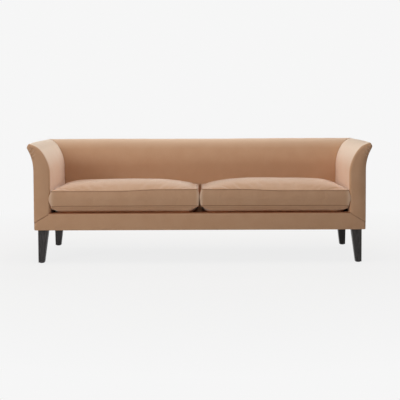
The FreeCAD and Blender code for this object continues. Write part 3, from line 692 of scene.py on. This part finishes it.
s = np.append(front_rows[::2], inside_length)[:, None]
d, z, nd, nz = inside_outline(s)
t = spaced(150, 0.7)[None, :] * 2 - 1
reach = half_inner + d
x = reach * t
fall = deck_fall * (back_inside - body_front) * np.clip(1 - s / inside_straight, 0, 1)
swell = back_uneven * unevenness(x, z + 0 * x, 11) + back_full * np.cos(np.pi * t / 2) * (
    z > back_full_from)
mitre = crease(reach - abs(x), mitre_width)
swell = swell + proud - mitre_depth * mitre
points = np.stack([x, back_inside + d + nd * swell, z - fall + nz * swell - sag(x, z)], -1)
# Painted highlight along the crown, short of the lip, and painted shade in the mitres.
brushed = back_brushed * ramp(z - back_brushed_from, back_brushed_over) * (
    s < inside_length - lip_plain) + 0 * x
cover("inside_back_upholstery", "inside_back_cover", points, together(x, s), False,
      seam=mitre_shade * mitre, brushed=brushed)


# Outside covers of the arms and the back: flat cuts pulled over the hollow of the flare, sewn
# under the lip and at the corners, and stapled under the rails on a 20 mm turn.
turn_under = 0.020
foot_round = 0.004
swell_foot = 0.23
side_uneven, side_full, front_seam_depth = 0.0007, 0.0012, 0.0012
rear_uneven, rear_full = 0.0009, 0.0014
# Painted shade along the corner and front seams and under the lip.
corner_shade, lip_shade = 0.8, 0.7
corner_width, corner_depth, corner_narrow = 0.007, 0.0014, 0.0008
flare_length = 0.15
outside_total = hollow_centre[1] - frame_foot + hollow_length
w = np.concatenate([np.linspace(0, outside_total - flare_length, 30, endpoint=False),
                    np.linspace(outside_total - flare_length, outside_total, 22)])[:, None]
d, z, nd, nz = outside_outline(w, frame_foot)
under = np.linspace(-np.pi / 2, 0, 6)[:-1, None]
keep = w[:, 0] > foot_round + 0.003
d, z, nd, nz, w = [part[keep] for part in (d, z, nd, nz, w)]
d = np.concatenate([[[wall - turn_under], [wall - turn_under / 2]],
                    wall - foot_round + foot_round * np.cos(under), d])
z = np.concatenate([[[frame_foot], [frame_foot]],
                    frame_foot + foot_round + foot_round * np.sin(under), z])
nd = np.concatenate([[[0.0], [0.0]], np.cos(under), nd])
nz = np.concatenate([[[-1.0], [-1.0]], np.sin(under), nz])
w = np.concatenate([[[-0.026], [-0.014]], under * foot_round, w])
outside_lift = np.where(z > frame_foot + 0.001, proud, stapled)
lip_seam = lip_shade * crease(w.max() - w, lip_seam_width)
for side, label in ((-1, "left"), (1, "right")):
    t = spaced(64, 0.7)[None, :]
    start, end = body_front + front_tack, back_inside + d
    y = start + (end - start) * t
    front_seam = crease(y - start, seam_width)
    swell = side_uneven * unevenness(y, z + 0 * y, 21 + side) + side_full * np.sin(np.pi * t)
    swell = outside_lift + swell * (z > swell_foot) - front_seam_depth * front_seam
    corner = crease(end - y, corner_width)
    points = np.stack([side * (half_inner + d + nd * swell - corner_depth * corner),
                       y - corner_narrow * corner, z + nz * swell], -1)
    # Painted shade along the front and corner seams and under the lip.
    seam = np.maximum(corner_shade * np.maximum(front_seam, crease(end - y, seam_width)), lip_seam)
    cover(label + "_outside_arm_upholstery", label + "_outside_arm_cover", points, together(y, w),
          side > 0, seam=seam)
t = spaced(130, 0.7)[None, :] * 2 - 1
reach = half_inner + d
x = reach * t
swell = rear_uneven * unevenness(x, z + 0 * x, 31) + rear_full * np.cos(np.pi * t / 2)
swell = outside_lift + swell * (z > swell_foot)
corner = crease(reach - abs(x), corner_width)
points = np.stack([x - np.sign(x) * corner_narrow * corner,
                   back_inside + d + nd * swell - corner_depth * corner, z + nz * swell - sag(x, z)], -1)
# Painted shade along the corners and under the lip.
cover("outside_back_upholstery", "outside_back_cover", points, together(x, w), True,
      seam=np.maximum(corner_shade * crease(reach - abs(x), seam_width), lip_seam))


# Front border: a cut of cloth over the padded front rail. It turns over the seat edge onto the
# deck and under the rail, and its ends are mitred up into the arm fronts on a slant.
border_round = 0.010
border_depth = 0.060
border_middle, border_half, border_full, border_uneven = 0.245, 0.05, 0.0014, 0.0006
border_overlap = 0.0005
corner_round = 0.013
corner_start = half_width - corner_round
# Painted shade in the mitre tucks and along the stapled hem.
seam_tuck, seam_shade, staple_shade = 0.0012, 0.5, 0.9
arm_gap = 0.0015
under_rail, swell_low, on_deck, past_round = 0.21, 0.215, 0.25, 0.297
climb_low, climb_below_mitre, climb_high = 0.006, 0.240, 0.289
past_front, mitre_in, pressed_shade_in = 0.0008, 0.008, 0.004
# A band of painted shadow on the top of the seat edge, under the cushions.
edge_start, edge_end, edge_fade, edge_shade = 0.0005, 0.016, 0.005, 0.85


def front_line(length):
    """Point along the front by its length from the middle: straight, then round the corner."""
    past = np.clip(abs(length) - corner_start, 0, None) / corner_round
    x = np.where(past > 0, corner_start + corner_round * np.sin(past), abs(length))
    back = np.where(past > 0, corner_round * (1 - np.cos(past)), 0)
    return np.sign(length) * x, back, np.sign(length) * np.sin(past), np.cos(past)


def border_turn(radius, height, angle, direction):
    """Rows of the profile round an edge: depth, height and the two parts of the normal."""
    return np.stack([radius - radius * np.cos(angle), height + direction * radius
                     + radius * np.sin(angle), -np.cos(angle), np.sin(angle)], 1)


climb = np.concatenate([np.linspace(frame_foot + foot_round + climb_low, climb_below_mitre, 8),
                        np.linspace(mitre_foot, climb_high, 14)])
profile = np.concatenate([
    [[turn_under, frame_foot, 0, -1], [turn_under / 2, frame_foot, 0, -1]],
    border_turn(foot_round, frame_foot, np.linspace(-np.pi / 2, 0, 6), 1),
    np.stack([0 * climb, climb, 0 * climb - 1, 0 * climb], 1),
    border_turn(border_round, seat_edge, np.linspace(0, np.pi / 2, 8), -1),
    [[depth, seat_edge, 0, 1] for depth in (0.018, 0.028, 0.040, 0.052, border_depth)],
])
deep, z, nb, nz = [part[:, None] for part in profile.T]
slant = half_inner + (mitre_top - z) / (mitre_top - mitre_foot) * wall
whole = corner_start + corner_round * math.pi / 2
between_arms = half_inner - border_overlap
past_corner = ramp(slant - corner_start, corner_round)
length = np.where(slant > corner_start, corner_start + corner_round * np.arcsin(past_corner), slant)
length = np.where(z < mitre_foot, whole, np.clip(length, between_arms, whole))
length = np.where(deep > border_round + 0.0005, np.where(z < under_rail, whole, between_arms), length)
arm_edge = half_inner + front_soft - np.sqrt(front_soft ** 2
                                            - np.clip(front_soft - deep, 0, None) ** 2)
over_edge = (z > past_round) & (deep > past_front)
length = np.where(over_edge, np.maximum(length, arm_edge + arm_gap), length)
run = length * (spaced(170, 0.55)[None, :] * 2 - 1)
to_end = length - abs(run)
x, back, nx, nback = front_line(run)
puff = border_full * np.clip(1 - ((z - border_middle) / border_half) ** 2, 0, 1) * ramp(
    to_end, border_half)
lift = proud + puff + border_uneven * unevenness(x, z + 0 * x, 41) * (
    (z > swell_low) & (z < mitre_top))
lift = np.where(z < frame_foot + 0.001, stapled, lift)
at_mitre = (z > mitre_foot - seam_width) & (z < seat_edge) & (deep < mitre_in)
tuck = np.where(at_mitre, crease(to_end, seam_width), 0)
lift = lift - seam_tuck * tuck
y = body_front + back + np.where(abs(run) > corner_start, deep * nback, deep) + nb * nback * lift
fall = deck_fall * np.clip(deep - border_round, 0, None) * (z > on_deck)
points = np.stack([x - nx * lift * nb - nx * deep, y, z + nz * lift - fall], -1)
# Painted shadow on the deck strip under the cushions, painted shade in the mitre tucks and hem.
cushion_shadow_band = ramp(deep - edge_start, edge_fade) * ramp(edge_end - deep, edge_fade)
seam = np.maximum(seam_shade * tuck ** 2, edge_shade * cushion_shadow_band * (z > on_deck) + 0 * run)
seam[-1] = staple_shade
climbed = lengths(profile[:, :2])[:, None]
piece = cover("front_border_upholstery", "front_border_cover", points, together(run, climbed), False,
              seam=seam)
# The deck strip under the cushions gets the pressed copy of the cloth, with painted warm shade.
press_and_shade(piece.data, lambda x, y, z: (z > on_deck) & (y > body_front + pressed_shade_in))


# Deck cloth: a plain sheet stretched over the deck pad under the cushions, sewn to the border
# and stapled to the rails, with a slight give between the straps.
deck_thickness = 0.0010
deck_lap, deck_clear = 0.001, 0.0001
deck_seam_width, deck_seam_shade = 0.006, 0.7
deck_give = 0.0004
strap_pitch = 0.2007
deck_low, deck_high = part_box("deck_cloth")
x = np.linspace(deck_low.x, deck_high.x, 150)[None, :]
y = np.linspace(body_front + border_depth - deck_lap, deck_high.y, 46)[:, None]
level = seat_edge + deck_clear - deck_fall * (y - body_front)
give = deck_give * (1 - np.cos(2 * np.pi * x / strap_pitch)) * np.sin(
    np.pi * (y - y.min()) / np.ptp(y))
# Cut from the pressed copy with painted warm shade, with painted shade along its seam.
seam = deck_seam_shade * crease(y - y.min(), deck_seam_width) + 0 * x
piece = cloth_piece("deck_sheet", together(x, y, level - give), together(x, y), False, pressed_shaded_cloth,
                    thickness=deck_thickness, seam=seam)
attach(piece, "frame")
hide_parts("deck_cloth")


# Dust cover: black spun polypropylene cloth stapled under the frame, which sags a little
# between the rails and is notched round the leg plates.
dust_sag, dust_uneven, dust_stand, dust_thickness = 0.0045, 0.0003, 0.0009, 0.0006
dust_shape = 0.7
leg_side_inset, leg_front_inset, leg_width = 0.022, 0.010, 0.060
frame_depth = 0.697
notch_room = 0.0008


def spun_cloth(name, pale, dark, fibre):
    """Spun fibre cloth: fine noise for the matted fibres over a dimple grid 3 mm apart."""
    made, tree, place = new_material(name)
    fibres = noise(tree, place, 1 / fibre, 4.0)
    dimple = add(tree, "TexVoronoi", {"Vector": place, "Scale": 330.0, "Randomness": 0.0})
    height = calc(tree, "ADD", fibres, dimple.outputs["Distance"])
    surface_shader(tree, between(tree, fibres, dark, pale), 0.85, height, 0.4, 0.0004)
    return made


dust_black = spun_cloth("black spun polypropylene", "#2C2B2A", "#141413", 0.002)
dust_low, dust_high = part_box("dust_cover")
x_cut = half_width - leg_side_inset - leg_width - notch_room
y_cut_front = body_front + leg_front_inset + leg_width + notch_room
y_cut_back = body_front + frame_depth - leg_front_inset - leg_width - notch_room
x = np.concatenate([[dust_low.x], np.linspace(-x_cut, x_cut, 120), [dust_high.x]])[None, :]
y = np.concatenate([[dust_low.y], np.linspace(y_cut_front, y_cut_back, 44), [dust_high.y]])[:, None]
slack = ramp((x + x_cut) * (x_cut - x), x_cut ** 2) * ramp(
    (y - y_cut_front) * (y_cut_back - y) * 4, (y_cut_back - y_cut_front) ** 2)
dust_level = min(dust_high.z, frame_foot) - dust_stand
points = together(x, y, dust_level - dust_sag * slack ** dust_shape
                  + dust_uneven * unevenness(x, y, 51) * np.clip(8 * slack, 0, 1))
piece = cloth_piece("dust_sheet", points, together(x, y), False, dust_black, levels=0, thickness=0)
work = bmesh.new()
work.from_mesh(piece.data)
corners = [face for face in work.faces if abs(face.calc_center_median().x) > x_cut
           and not y_cut_front < face.calc_center_median().y < y_cut_back]
bmesh.ops.delete(work, geom=corners, context="FACES")
bmesh.ops.reverse_faces(work, faces=work.faces)
work.to_mesh(piece.data)
work.free()
thicken(piece, dust_thickness)
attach(piece, "frame")
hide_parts("dust_cover")


# Legs: beech turned square by saw, upright outside and tapering inside, stained black and
# lacquered, so the grain shows as faint dark lines under a satin film.
def stained(name, pale, dark, spacing):
    """Stained timber: long noise streaks down the leg, one per grain line, under lacquer."""
    made, tree, place = new_material(name)
    long = stretched(tree, place, (1 / spacing, 1 / spacing, 0.06 / spacing))
    grain = noise(tree, long, 1.0, 6.0, Roughness=0.62)
    rough = mapped(tree, grain, 0.0, 1.0, 0.34, 0.50)
    surface_shader(tree, between(tree, mapped(tree, grain, 0.38, 0.64), pale, dark), rough, grain,
                   0.25, 0.0003, **{"Specular IOR Level": 0.12})
    return made


dress(stained("beech, black stain under satin lacquer", "#545253", "#373636", 0.0022),
      "front_left_leg", "front_right_leg", "rear_left_leg", "rear_right_leg")


# Leg fittings: zinc plated steel plates and hanger bolts, and black moulded nylon glides.
# The plates are screwed to the blocks under the frame, the glides nailed under the legs.
def metal(name, pale, dark, low_rough, high_rough, spangle):
    """Metal: soft patches a spangle wide change the shade and the roughness a little."""
    made, tree, place = new_material(name)
    cells = noise(tree, place, 1 / spangle, 3.0)
    surface_shader(tree, between(tree, cells, dark, pale),
                   mapped(tree, cells, 0.0, 1.0, low_rough, high_rough), cells, 0.1, 0.0002,
                   Metallic=1.0)
    return made


def moulded(name, pale, dark, grain):
    """Moulded plastic: a fine spark-eroded grain from noise."""
    made, tree, place = new_material(name)
    eroded = noise(tree, place, 1 / grain, 2.0)
    surface_shader(tree, between(tree, eroded, dark, pale), 0.5, eroded, 0.3, 0.0002)
    return made


dress(metal("zinc plated steel", "#C9CCD0", "#A3A7AC", 0.25, 0.42, 0.004), "leg_plates", "leg_bolts")
dress(moulded("black nylon, moulded", "#232323", "#161616", 0.0006), "glides")


# Seat cushions: two loose boxed cases of the same cloth over a foam core in fibre wrap. The
# panels and the boxing are sewn together with a piped seam at the top and at the bottom.
cushion_half = (0.4499, 0.2965)
cushion_spill = 0.004
cushion_centre = (0.45110, body_front - cushion_spill + cushion_half[1])
side_bulge = 0.005
corner_spill = 0.022
spill_reach = 0.020
valley_depth = 0.017
low_seam, high_seam = 0.3448, 0.4423
seam_drop, seam_rise, corner_rise = 0.0043, 0.0091, 0.0040
inner_lean = 0.004
cushion_floor = 0.3035
top_crown, bottom_crown = 0.0455, 0.0415
front_draw, end_draw = 0.004, 0.003
plan_radius = 0.010
corner_droop, droop_along, droop_back = 0.003, 0.045, 0.120
valley_start, valley_end = 0.080, 0.060
bottom_edge = 0.060
bottom_front = 0.045
inner_reach, inner_front = 0.040, 0.095
outer_reach, outer_front = 0.030, 0.155
slack_fullness = 0.80
columns, rows = 96, 68

# The boxing has rows at even shares of its height, closer at both seams, and in its middle
# rows at the edges of the groove in which the zip lies.
even_shares = spaced(13, 0.75)
boxing_shares = np.concatenate([even_shares[:5], [0.4000, 0.4385, 0.5, 0.5615, 0.6000],
                                even_shares[8:]])
boxing_rows = len(boxing_shares) - 1


def pitched(points):
    """Points turned about the front edge of the seat by the deck's two degrees."""
    turn = -deck_angle
    y, z = points[..., 1] - body_front, points[..., 2] - seat_edge
    return np.stack([points[..., 0], body_front + y * math.cos(turn) - z * math.sin(turn),
                     seat_edge + y * math.sin(turn) + z * math.cos(turn)], -1)


def plan(a, b, inset, draw):
    """A point of the square from -1 to 1, on the cushion's plan with round corners.

    In the corner squares, p and q become p * sqrt(1 - q * q / 2) and q * sqrt(1 - p * p / 2),
    which bends the square's border onto a quarter circle. The sides are drawn in at the middle.
    """
    half_x, half_y = cushion_half[0] - inset, cushion_half[1] - inset
    x, y = a * half_x, b * half_y
    p = ramp(abs(x) - half_x + plan_radius, plan_radius)
    q = ramp(abs(y) - half_y + plan_radius, plan_radius)
    x = x - np.sign(x) * plan_radius * (p - p * np.sqrt(1 - q * q / 2))
    y = y - np.sign(y) * plan_radius * (q - q * np.sqrt(1 - p * p / 2))
    x = x - end_draw * draw * a ** 5 * (1 - b ** 2)
    y = y + front_draw * draw * np.clip(-b, 0, 1) ** 5 * (1 - a ** 2)
    return x, y


def top_dome(a, b):
    """Top crown as a share of its height: 1 - |a| ** n along, times 1 - |b| ** 3.6 across.

    n is 3.2 at the middle of the sofa and 7 at the arm, where the cushion leans on it and is
    fuller, though lower by 13 percent.
    """
    outer = (1 - abs(a) ** 7) * (1 - 0.13 * np.clip(a, 0, 1))
    across = np.where(a < 0, 1 - abs(a) ** 3.2, outer)
    return across * (1 - abs(b) ** 3.6)


def valley(a, b):
    """How far the end at the middle of the sofa gives way between its corners.

    It is |a| ** 36 from that end, times 1 - exp(-(distance from the front / 80 mm) ** 2), and
    it dies out over the last 60 mm towards the back.
    """
    middle = (1 - crease((1 + b) * cushion_half[1], valley_start)) * ramp(
        (1 - b) * cushion_half[1], valley_end)
    return valley_depth * np.clip(-a, 0, 1) ** 36 * middle


def upper_seam(a, b):
    """Height of the upper seam, which is drawn up towards the middle of the sofa at the front.

    The rise goes from 0 to 1 by u * u * (3 - 2 * u) and dies out to the back as
    ((1 - b) / 2) ** 2.
    """
    u = ramp(0.1 - a, 0.55)
    rise = seam_rise * u * u * (3 - 2 * u) - seam_drop + corner_rise * np.clip(-a, 0, 1) ** 20
    return high_seam + rise * ((1 - b) / 2) ** 2 - valley(a, b)


def lean(a):
    """How far the upper seam leans away from the other cushion, a ** 12 from that end."""
    return inner_lean * np.clip(-a, 0, 1) ** 12


def bottom_dome(a, b):
    """Bottom as a share of its depth: (1 - (1 - u) ** 2.6) ** (1 / 2.6) from front and back.

    It stands nearly upright under the seam and is flat where it rests. At the middle of the
    sofa it rises towards the seam over a longer way, 1 - (1 - u) ** 2, and at the arm it
    falls off as u ** 0.25, both most of all at the front. Across and along are joined as
    (across ** -8 + along ** -8 - 1) ** -0.125, which keeps the corners full.
    """
    at_front = crease((1 + b) * cushion_half[1], bottom_front)
    inner = ramp((1 + a) * cushion_half[0], inner_reach + inner_front * at_front)
    outer = ramp((1 - a) * cushion_half[0], outer_reach + outer_front * at_front)
    near = ramp((1 + b) * cushion_half[1], bottom_edge)
    far = ramp((1 - b) * cushion_half[1], bottom_edge)
    across = (1 - (1 - inner) ** 2) * outer ** 0.25
    along = ((1 - (1 - near) ** 2.6) * (1 - (1 - far) ** 2.6)) ** (1 / 2.6)
    both = np.maximum(across, 0.01) ** -8 + np.maximum(along, 0.01) ** -8 - 1
    return np.where(np.minimum(across, along) > 0.01, both ** -0.125, np.minimum(across, along))


def droop(a, b):
    """How far the lower seam hangs at the front corner next to the arm.

    There the cushion's corner spills over the seat's round edge.
    """
    end = crease((1 - a) * cushion_half[0], droop_along)
    return corner_droop * end * crease((1 + b) * cushion_half[1], droop_back)


# Order of a cushion's points: the top grid, the bottom grid, then the boxing's inner rows as
# rings. Each ring starts at a front corner and goes once round the edge of the grid.
around_edge = np.arange(2 * (rows + columns) - 4)
edge_row = np.clip(np.minimum(around_edge - columns + 1, len(around_edge) - around_edge), 0, rows - 1)
edge_column = np.clip(np.minimum(around_edge, 2 * columns + rows - 3 - around_edge), 0, columns - 1)
edge = edge_row * columns + edge_column
rings = [edge] + [2 * rows * columns + len(edge) * k + around_edge
                  for k in range(boxing_rows - 1)] + [edge + rows * columns]
sewn = np.concatenate([rings[0], rings[-1]])
beside_sewn = np.concatenate([rings[1], rings[-2]])


def cushion_points(fullness, extra):
    """All points of a cushion in their order; extra is added to the height of its crown."""
    a, b = np.meshgrid(spaced(columns, 0.6) * 2 - 1, spaced(rows, 0.6) * 2 - 1)
    x, y = plan(a, b, side_bulge, 1.0)
    crown = (top_crown + extra) * fullness * top_dome(a, b)
    top = np.stack([x + lean(a), y, upper_seam(a, b) + crown], -1)
    belly = bottom_crown * fullness * bottom_dome(a, b)
    low = np.stack([x, y, low_seam - (belly ** 4 + droop(a, b) ** 4) ** 0.25], -1)
    ra, rb = a[edge_row, edge_column], b[edge_row, edge_column]
    bands = []
    for share in boxing_shares[1:-1]:
        bulge = side_bulge * (1 - math.sin(math.pi * share) * fullness)
        x, y = plan(ra, rb, bulge, 1.0 - 0.5 * math.sin(math.pi * share))
        x = x + lean(ra) * max(0, 1 - 2 * share)
        height = upper_seam(ra, rb)
        foot = low_seam - droop(ra, rb)
        bands.append(np.stack([x, y, height + (foot - height) * share], -1))
    return np.concatenate([top.reshape(-1, 3), low.reshape(-1, 3), np.concatenate(bands)])


def boxing_faces():
    """Quads of the boxing, and for each corner its step along the seam and its row."""
    quads, places = [], []
    for k, (upper, lower) in enumerate(zip(rings, rings[1:])):
        quads.append(np.stack([lower, np.roll(lower, -1), np.roll(upper, -1), upper], -1))
        places.append(np.stack([np.stack([around_edge + step, 0 * around_edge + k + down], -1)
                                for step, down in ((0, 1), (1, 1), (1, 0), (0, 0))], 1))
    return np.concatenate(quads), np.concatenate(places).reshape(-1, 2).T


# The filling blows the case up in a cloth simulation, from a slack form, with its seams held.
# The sewn form then holds the result close, closer on the boxing than on the panels.
filling = {"quality": 6, "mass": 0.25, "tension_stiffness": 14, "compression_stiffness": 14,
           "shear_stiffness": 6, "bending_stiffness": 0.6, "use_pressure": True,
           "uniform_pressure_force": 4.0, "vertex_group_mass": "sewn", "shrink_min": -0.035}
last_frame = 20
displacement_cap = 0.024
form_hold, boxing_hold = 0.0055, 0.0020
pucker_height, pucker_reach, pucker_start, pucker_on_boxing = 0.0011, 0.030, 0.006, 0.2
cushion_uneven, uneven_over = 0.0012, 0.06
# Painted shade on the piped seams and the rows beside them.
seam_tone, beside_seam_tone = 0.2, 0.6
# A painted highlight down the front corners of the boxing.
corner_highlight, corner_highlight_plain, corner_highlight_reach = 0.5, 0.007, 0.010
cloth_shift = 0.37
side_room = 0.0006
# The pressed copy with painted warm shade, under the cushion and on its end at the middle.
pressed_shade_floor, pressed_shade_end, pressed_shade_front = 0.012, 0.0085, 0.010

# The foam core's half size and the cloth's least height over it, so that it never shows.
core_half, core_room = (0.4231, 0.2696), 0.0030
core_margin, core_fade = 0.012, 0.010
zip_half_length, zip_in = 0.380, 0.012
zip_middle = 0.3933
groove_half, groove_slope, groove_depth = 0.0105, 0.004, 0.0046
cushion_cloth = upholstery("brushed wool-cotton plain weave, cushion", "#CDA789", "#C2997A")


def swollen(piece):
    """Coordinates after the cloth is blown up from inside, with no gravity."""
    group = piece.vertex_groups.new(name="sewn")
    group.add([int(i) for i in sewn], 1.0, "REPLACE")
    cloth = piece.modifiers.new("cloth", "CLOTH")
    for name, value in filling.items():
        setattr(cloth.settings, name, value)
    cloth.settings.effector_weights.gravity = 0
    cloth.collision_settings.use_collision = False
    cloth.point_cache.frame_start = 1
    cloth.point_cache.frame_end = last_frame
    for step in range(1, last_frame + 1):
        bpy.context.scene.frame_set(step)
    blown = piece.evaluated_get(bpy.context.evaluated_depsgraph_get())
    points = read(blown.to_mesh().vertices, "co")
    blown.to_mesh_clear()
    piece.modifiers.remove(cloth)
    piece.vertex_groups.clear()
    bpy.context.scene.frame_set(1)
    return points


def settled(blown, slack, form):
    """Blown points, moved no further than the cap and then drawn towards the sewn form.

    A point that is d away from its form keeps d * hold / (hold + d) of that.
    """
    moved = blown - slack
    far = np.linalg.norm(moved, axis=1, keepdims=True)
    blown = slack + moved * np.minimum(1, displacement_cap / np.maximum(far, 1e-9))
    rest = blown - form
    far = np.linalg.norm(rest, axis=1, keepdims=True)
    hold = np.full((len(form), 1), form_hold)
    hold[2 * rows * columns:] = boxing_hold
    return form + rest * hold / (hold + far)


def set_points(mesh, points):
    mesh.vertices.foreach_set("co", points.astype(np.float32).ravel())
    mesh.update()


def puckered(shaped, form, normals, seed):
    """Points with the gathers along the seams and the soft unevenness of the panels.

    The gathers are four sines of random length, which die out 30 mm from the seam.
    """
    to_seam = np.minimum(abs(shaped[:, 2] - high_seam), abs(shaped[:, 2] - low_seam))
    inside = np.minimum((1 - abs(form[:, 0]) / cushion_half[0]) * cushion_half[0],
                        (1 - abs(form[:, 1]) / cushion_half[1]) * cushion_half[1])
    along = form[:, 0] + form[:, 1]
    rng = np.random.default_rng(seed)
    pucker = sum(np.sin(along * 2 * np.pi / length + rng.uniform(0, 6.28))
                 for length in rng.uniform(0.022, 0.060, 4)) / 4
    reach = crease(np.clip(inside - pucker_start, 0, None), pucker_reach)
    reach = reach * (1 - crease(to_seam, seam_width))
    on_boxing = (form[:, 2] < high_seam) & (form[:, 2] > low_seam)
    reach = reach * np.where(on_boxing, pucker_on_boxing, 1.0)
    uneven = unevenness(form[:, 0], form[:, 1], seed) * ramp(inside, uneven_over)
    return shaped + normals * (pucker_height * pucker * reach)[:, None] + (
        normals * (cushion_uneven * uneven)[:, None])


def trimmed(shaped, form):
    """Points kept clear of the arms and the core, with the zip's groove and the spilling corner.

    The corner moves out by spill * (1 - distance from the front / spill_reach) ** 2 at the arm.
    """
    limit = np.array(cushion_half) + side_room
    shaped[:, :2] = np.clip(shaped[:, :2], -limit, limit)
    on_zip = (form[:, 1] > cushion_half[1] - zip_in) & (abs(form[:, 0]) < zip_half_length)
    groove = groove_depth * ramp(groove_half - abs(form[:, 2] - zip_middle), groove_slope)
    shaped[:, 1] = np.where(on_zip & (groove > 0), np.minimum(shaped[:, 1], cushion_half[1]) - groove,
                            shaped[:, 1])
    over_core = ramp(core_half[0] + core_margin - abs(shaped[:, 0]), core_fade) * ramp(
        core_half[1] + core_margin - abs(shaped[:, 1]), core_fade)
    over_core[rows * columns:] = 0
    shaped[:, 2] += over_core * np.clip(high_seam + core_room - shaped[:, 2], 0, None)
    past = np.clip(1 - (form[:, 1] + cushion_half[1]) / spill_reach, 0, 1) ** 2
    shaped[:, 0] += corner_spill * past * np.clip(form[:, 0] / cushion_half[0], 0, 1) ** 40
    shaped[:, 2] = np.maximum(shaped[:, 2], cushion_floor)
    return shaped


def seat_cushion(label, side, seed, extra):
    """One cushion, shaped at the right-hand place, subdivided once and then put on its side."""
    slack, form = cushion_points(slack_fullness, extra), cushion_points(1.0, extra)
    top = grid_quads(rows, columns)
    low = top[:, ::-1] + rows * columns
    boxing, (step, row) = boxing_faces()
    mesh = bpy.data.meshes.new(label + "_seat_cushion")
    mesh.from_pydata(slack.tolist(), [], np.concatenate([top, low, boxing]).tolist())
    panels = slack[:, :2] + np.array([seed * cloth_shift, 0.0])
    around = lengths(form[np.append(edge, edge[0])])
    height = boxing_shares * (high_seam - low_seam)
    # Painted shade along the piped seams, and a painted highlight down the front corners.
    seam = np.zeros(len(form))
    seam[sewn] = seam_tone
    seam[beside_sewn] = beside_seam_tone
    to_corner = np.hypot(cushion_half[0] - abs(form[:, 0]), cushion_half[1] + form[:, 1])
    brushed = corner_highlight * crease(np.clip(to_corner - corner_highlight_plain, 0, None), corner_highlight_reach) * (
        form[:, 2] > low_seam)
    uv = np.concatenate([panels[top.ravel()], panels[low.ravel()],
                         np.stack([around[step], height[row]], -1)])
    dress_mesh(mesh, uv, seam=seam, brushed=brushed)
    piece = new_object(label + "_seat_cushion", mesh)
    shaped = settled(swollen(piece), slack, form)
    set_points(mesh, shaped)
    shaped = trimmed(puckered(shaped, form, read(mesh.vertices, "normal"), seed), form)
    mesh.polygons.foreach_set("use_smooth", [True] * len(mesh.polygons))
    set_points(mesh, shaped + np.array([*cushion_centre, 0]))
    fine = piece.modifiers.new("rounded", "SUBSURF")
    fine.levels = fine.render_levels = 1
    bpy.context.view_layer.update()
    graph = bpy.context.evaluated_depsgraph_get()
    smooth = bpy.data.meshes.new_from_object(piece.evaluated_get(graph), depsgraph=graph)
    piece.modifiers.clear()
    piece.data = smooth
    smooth.name = label + "_seat_cushion"
    smooth.materials.clear()
    smooth.materials.append(cushion_cloth)
    # The pressed copy, with painted warm shade, under the cushion and on its end at the middle.
    inner_end = cushion_centre[0] - cushion_half[0] + pressed_shade_end
    press_and_shade(smooth, lambda x, y, z: (z < cushion_floor + pressed_shade_floor) | (
        (x < inner_end) & (y > body_front + pressed_shade_front)))
    points = pitched(read(smooth.vertices, "co"))
    points[:, 0] *= side
    if side < 0:
        smooth.flip_normals()
    set_points(smooth, points)
    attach(piece, label + "_cushion")
    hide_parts(label + "_cushion")
    return points


# Piping: a cord of 3 mm in a bias-cut sleeve of the same cloth, sewn into both seams of each
# cushion. It follows the seam of the simulated case and stands a little out of it.
piping_radius = 0.0021
piping_stand = 0.0006
piping_columns = 11
bias = np.array([[1.0, 1.0], [-1.0, 1.0]])


def tube(name, path, made):
    """Closed tube round a closed path: at each point a ring lies across the path's direction.

    The ring's first axis points sideways, level, and its second is across that and the path.
    """
    ahead = np.roll(path, -1, 0) - np.roll(path, 1, 0)
    ahead /= np.linalg.norm(ahead, axis=1, keepdims=True)
    across = np.cross(ahead, [0.0, 0.0, 1.0])
    across /= np.linalg.norm(across, axis=1, keepdims=True)
    up = np.cross(across, ahead)
    turn = np.linspace(0, 2 * np.pi, piping_columns)[None, :]
    path, across, up = [np.concatenate([part, part[:1]]) for part in (path, across, up)]
    out = across[:, None, :] * np.cos(turn)[..., None] + up[:, None, :] * np.sin(turn)[..., None]
    threads = together(lengths(path)[:, None], turn * piping_radius) @ bias
    return cloth_piece(name, path[:, None, :] + piping_radius * out, threads, False, made, levels=0,
                       thickness=0)


piping_cloth = upholstery("brushed wool-cotton, cut on the bias", "#CDA788", "#C39A79")
for label, side, seed, extra in (("left", -1, 61, 0.000), ("right", 1, 67, 0.004)):
    points = seat_cushion(label, side, seed, extra)
    cords = []
    for place, seam_ring in enumerate((rings[0], rings[-1])):
        path = points[seam_ring]
        path = sum(np.roll(path, k, 0) for k in (-1, 0, 1)) / 3
        out = path - path.mean(0)
        out[:, 2] = 0
        out /= np.linalg.norm(out, axis=1, keepdims=True)
        path = path + out * piping_stand
        cords.append(tube(f"{label}_piping_{place}", path[::side], piping_cloth))
    piece = joined(label + "_piping", label + "_cushion", cords)
    piece.data.materials.append(piping_cloth)
    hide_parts(label + "_cushion_piping")


# Zips: a woven tape in the rear boxing of each cushion, with a low ridge along its middle, and
# a brass slider that runs along it.
zip_thickness = 0.0006
zip_ridge = 0.0002
tape_cloth = woven_bands("woven zip tape", "#C09A76", "#A98361", 0.0015, 0.85)
for label in ("left", "right"):
    low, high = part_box(label + "_zip")
    x = np.linspace(low.x + 0.001, high.x - 0.001, 120)[None, :]
    u = np.linspace(0, 1, 9)[:, None]
    y = low.y + (high.y - low.y) * 0.5 + zip_ridge * np.cos(2 * np.pi * u)
    z = low.z + (high.z - low.z) * u
    piece = cloth_piece(label + "_zip_tape", together(x, y, z), together(x, z), True, tape_cloth,
                        levels=0, thickness=zip_thickness)
    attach(piece, label + "_cushion")
    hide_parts(label + "_zip")
dress(metal("polished brass", "#C9A86A", "#A98848", 0.22, 0.36, 0.003), *pair("zip_slider"))
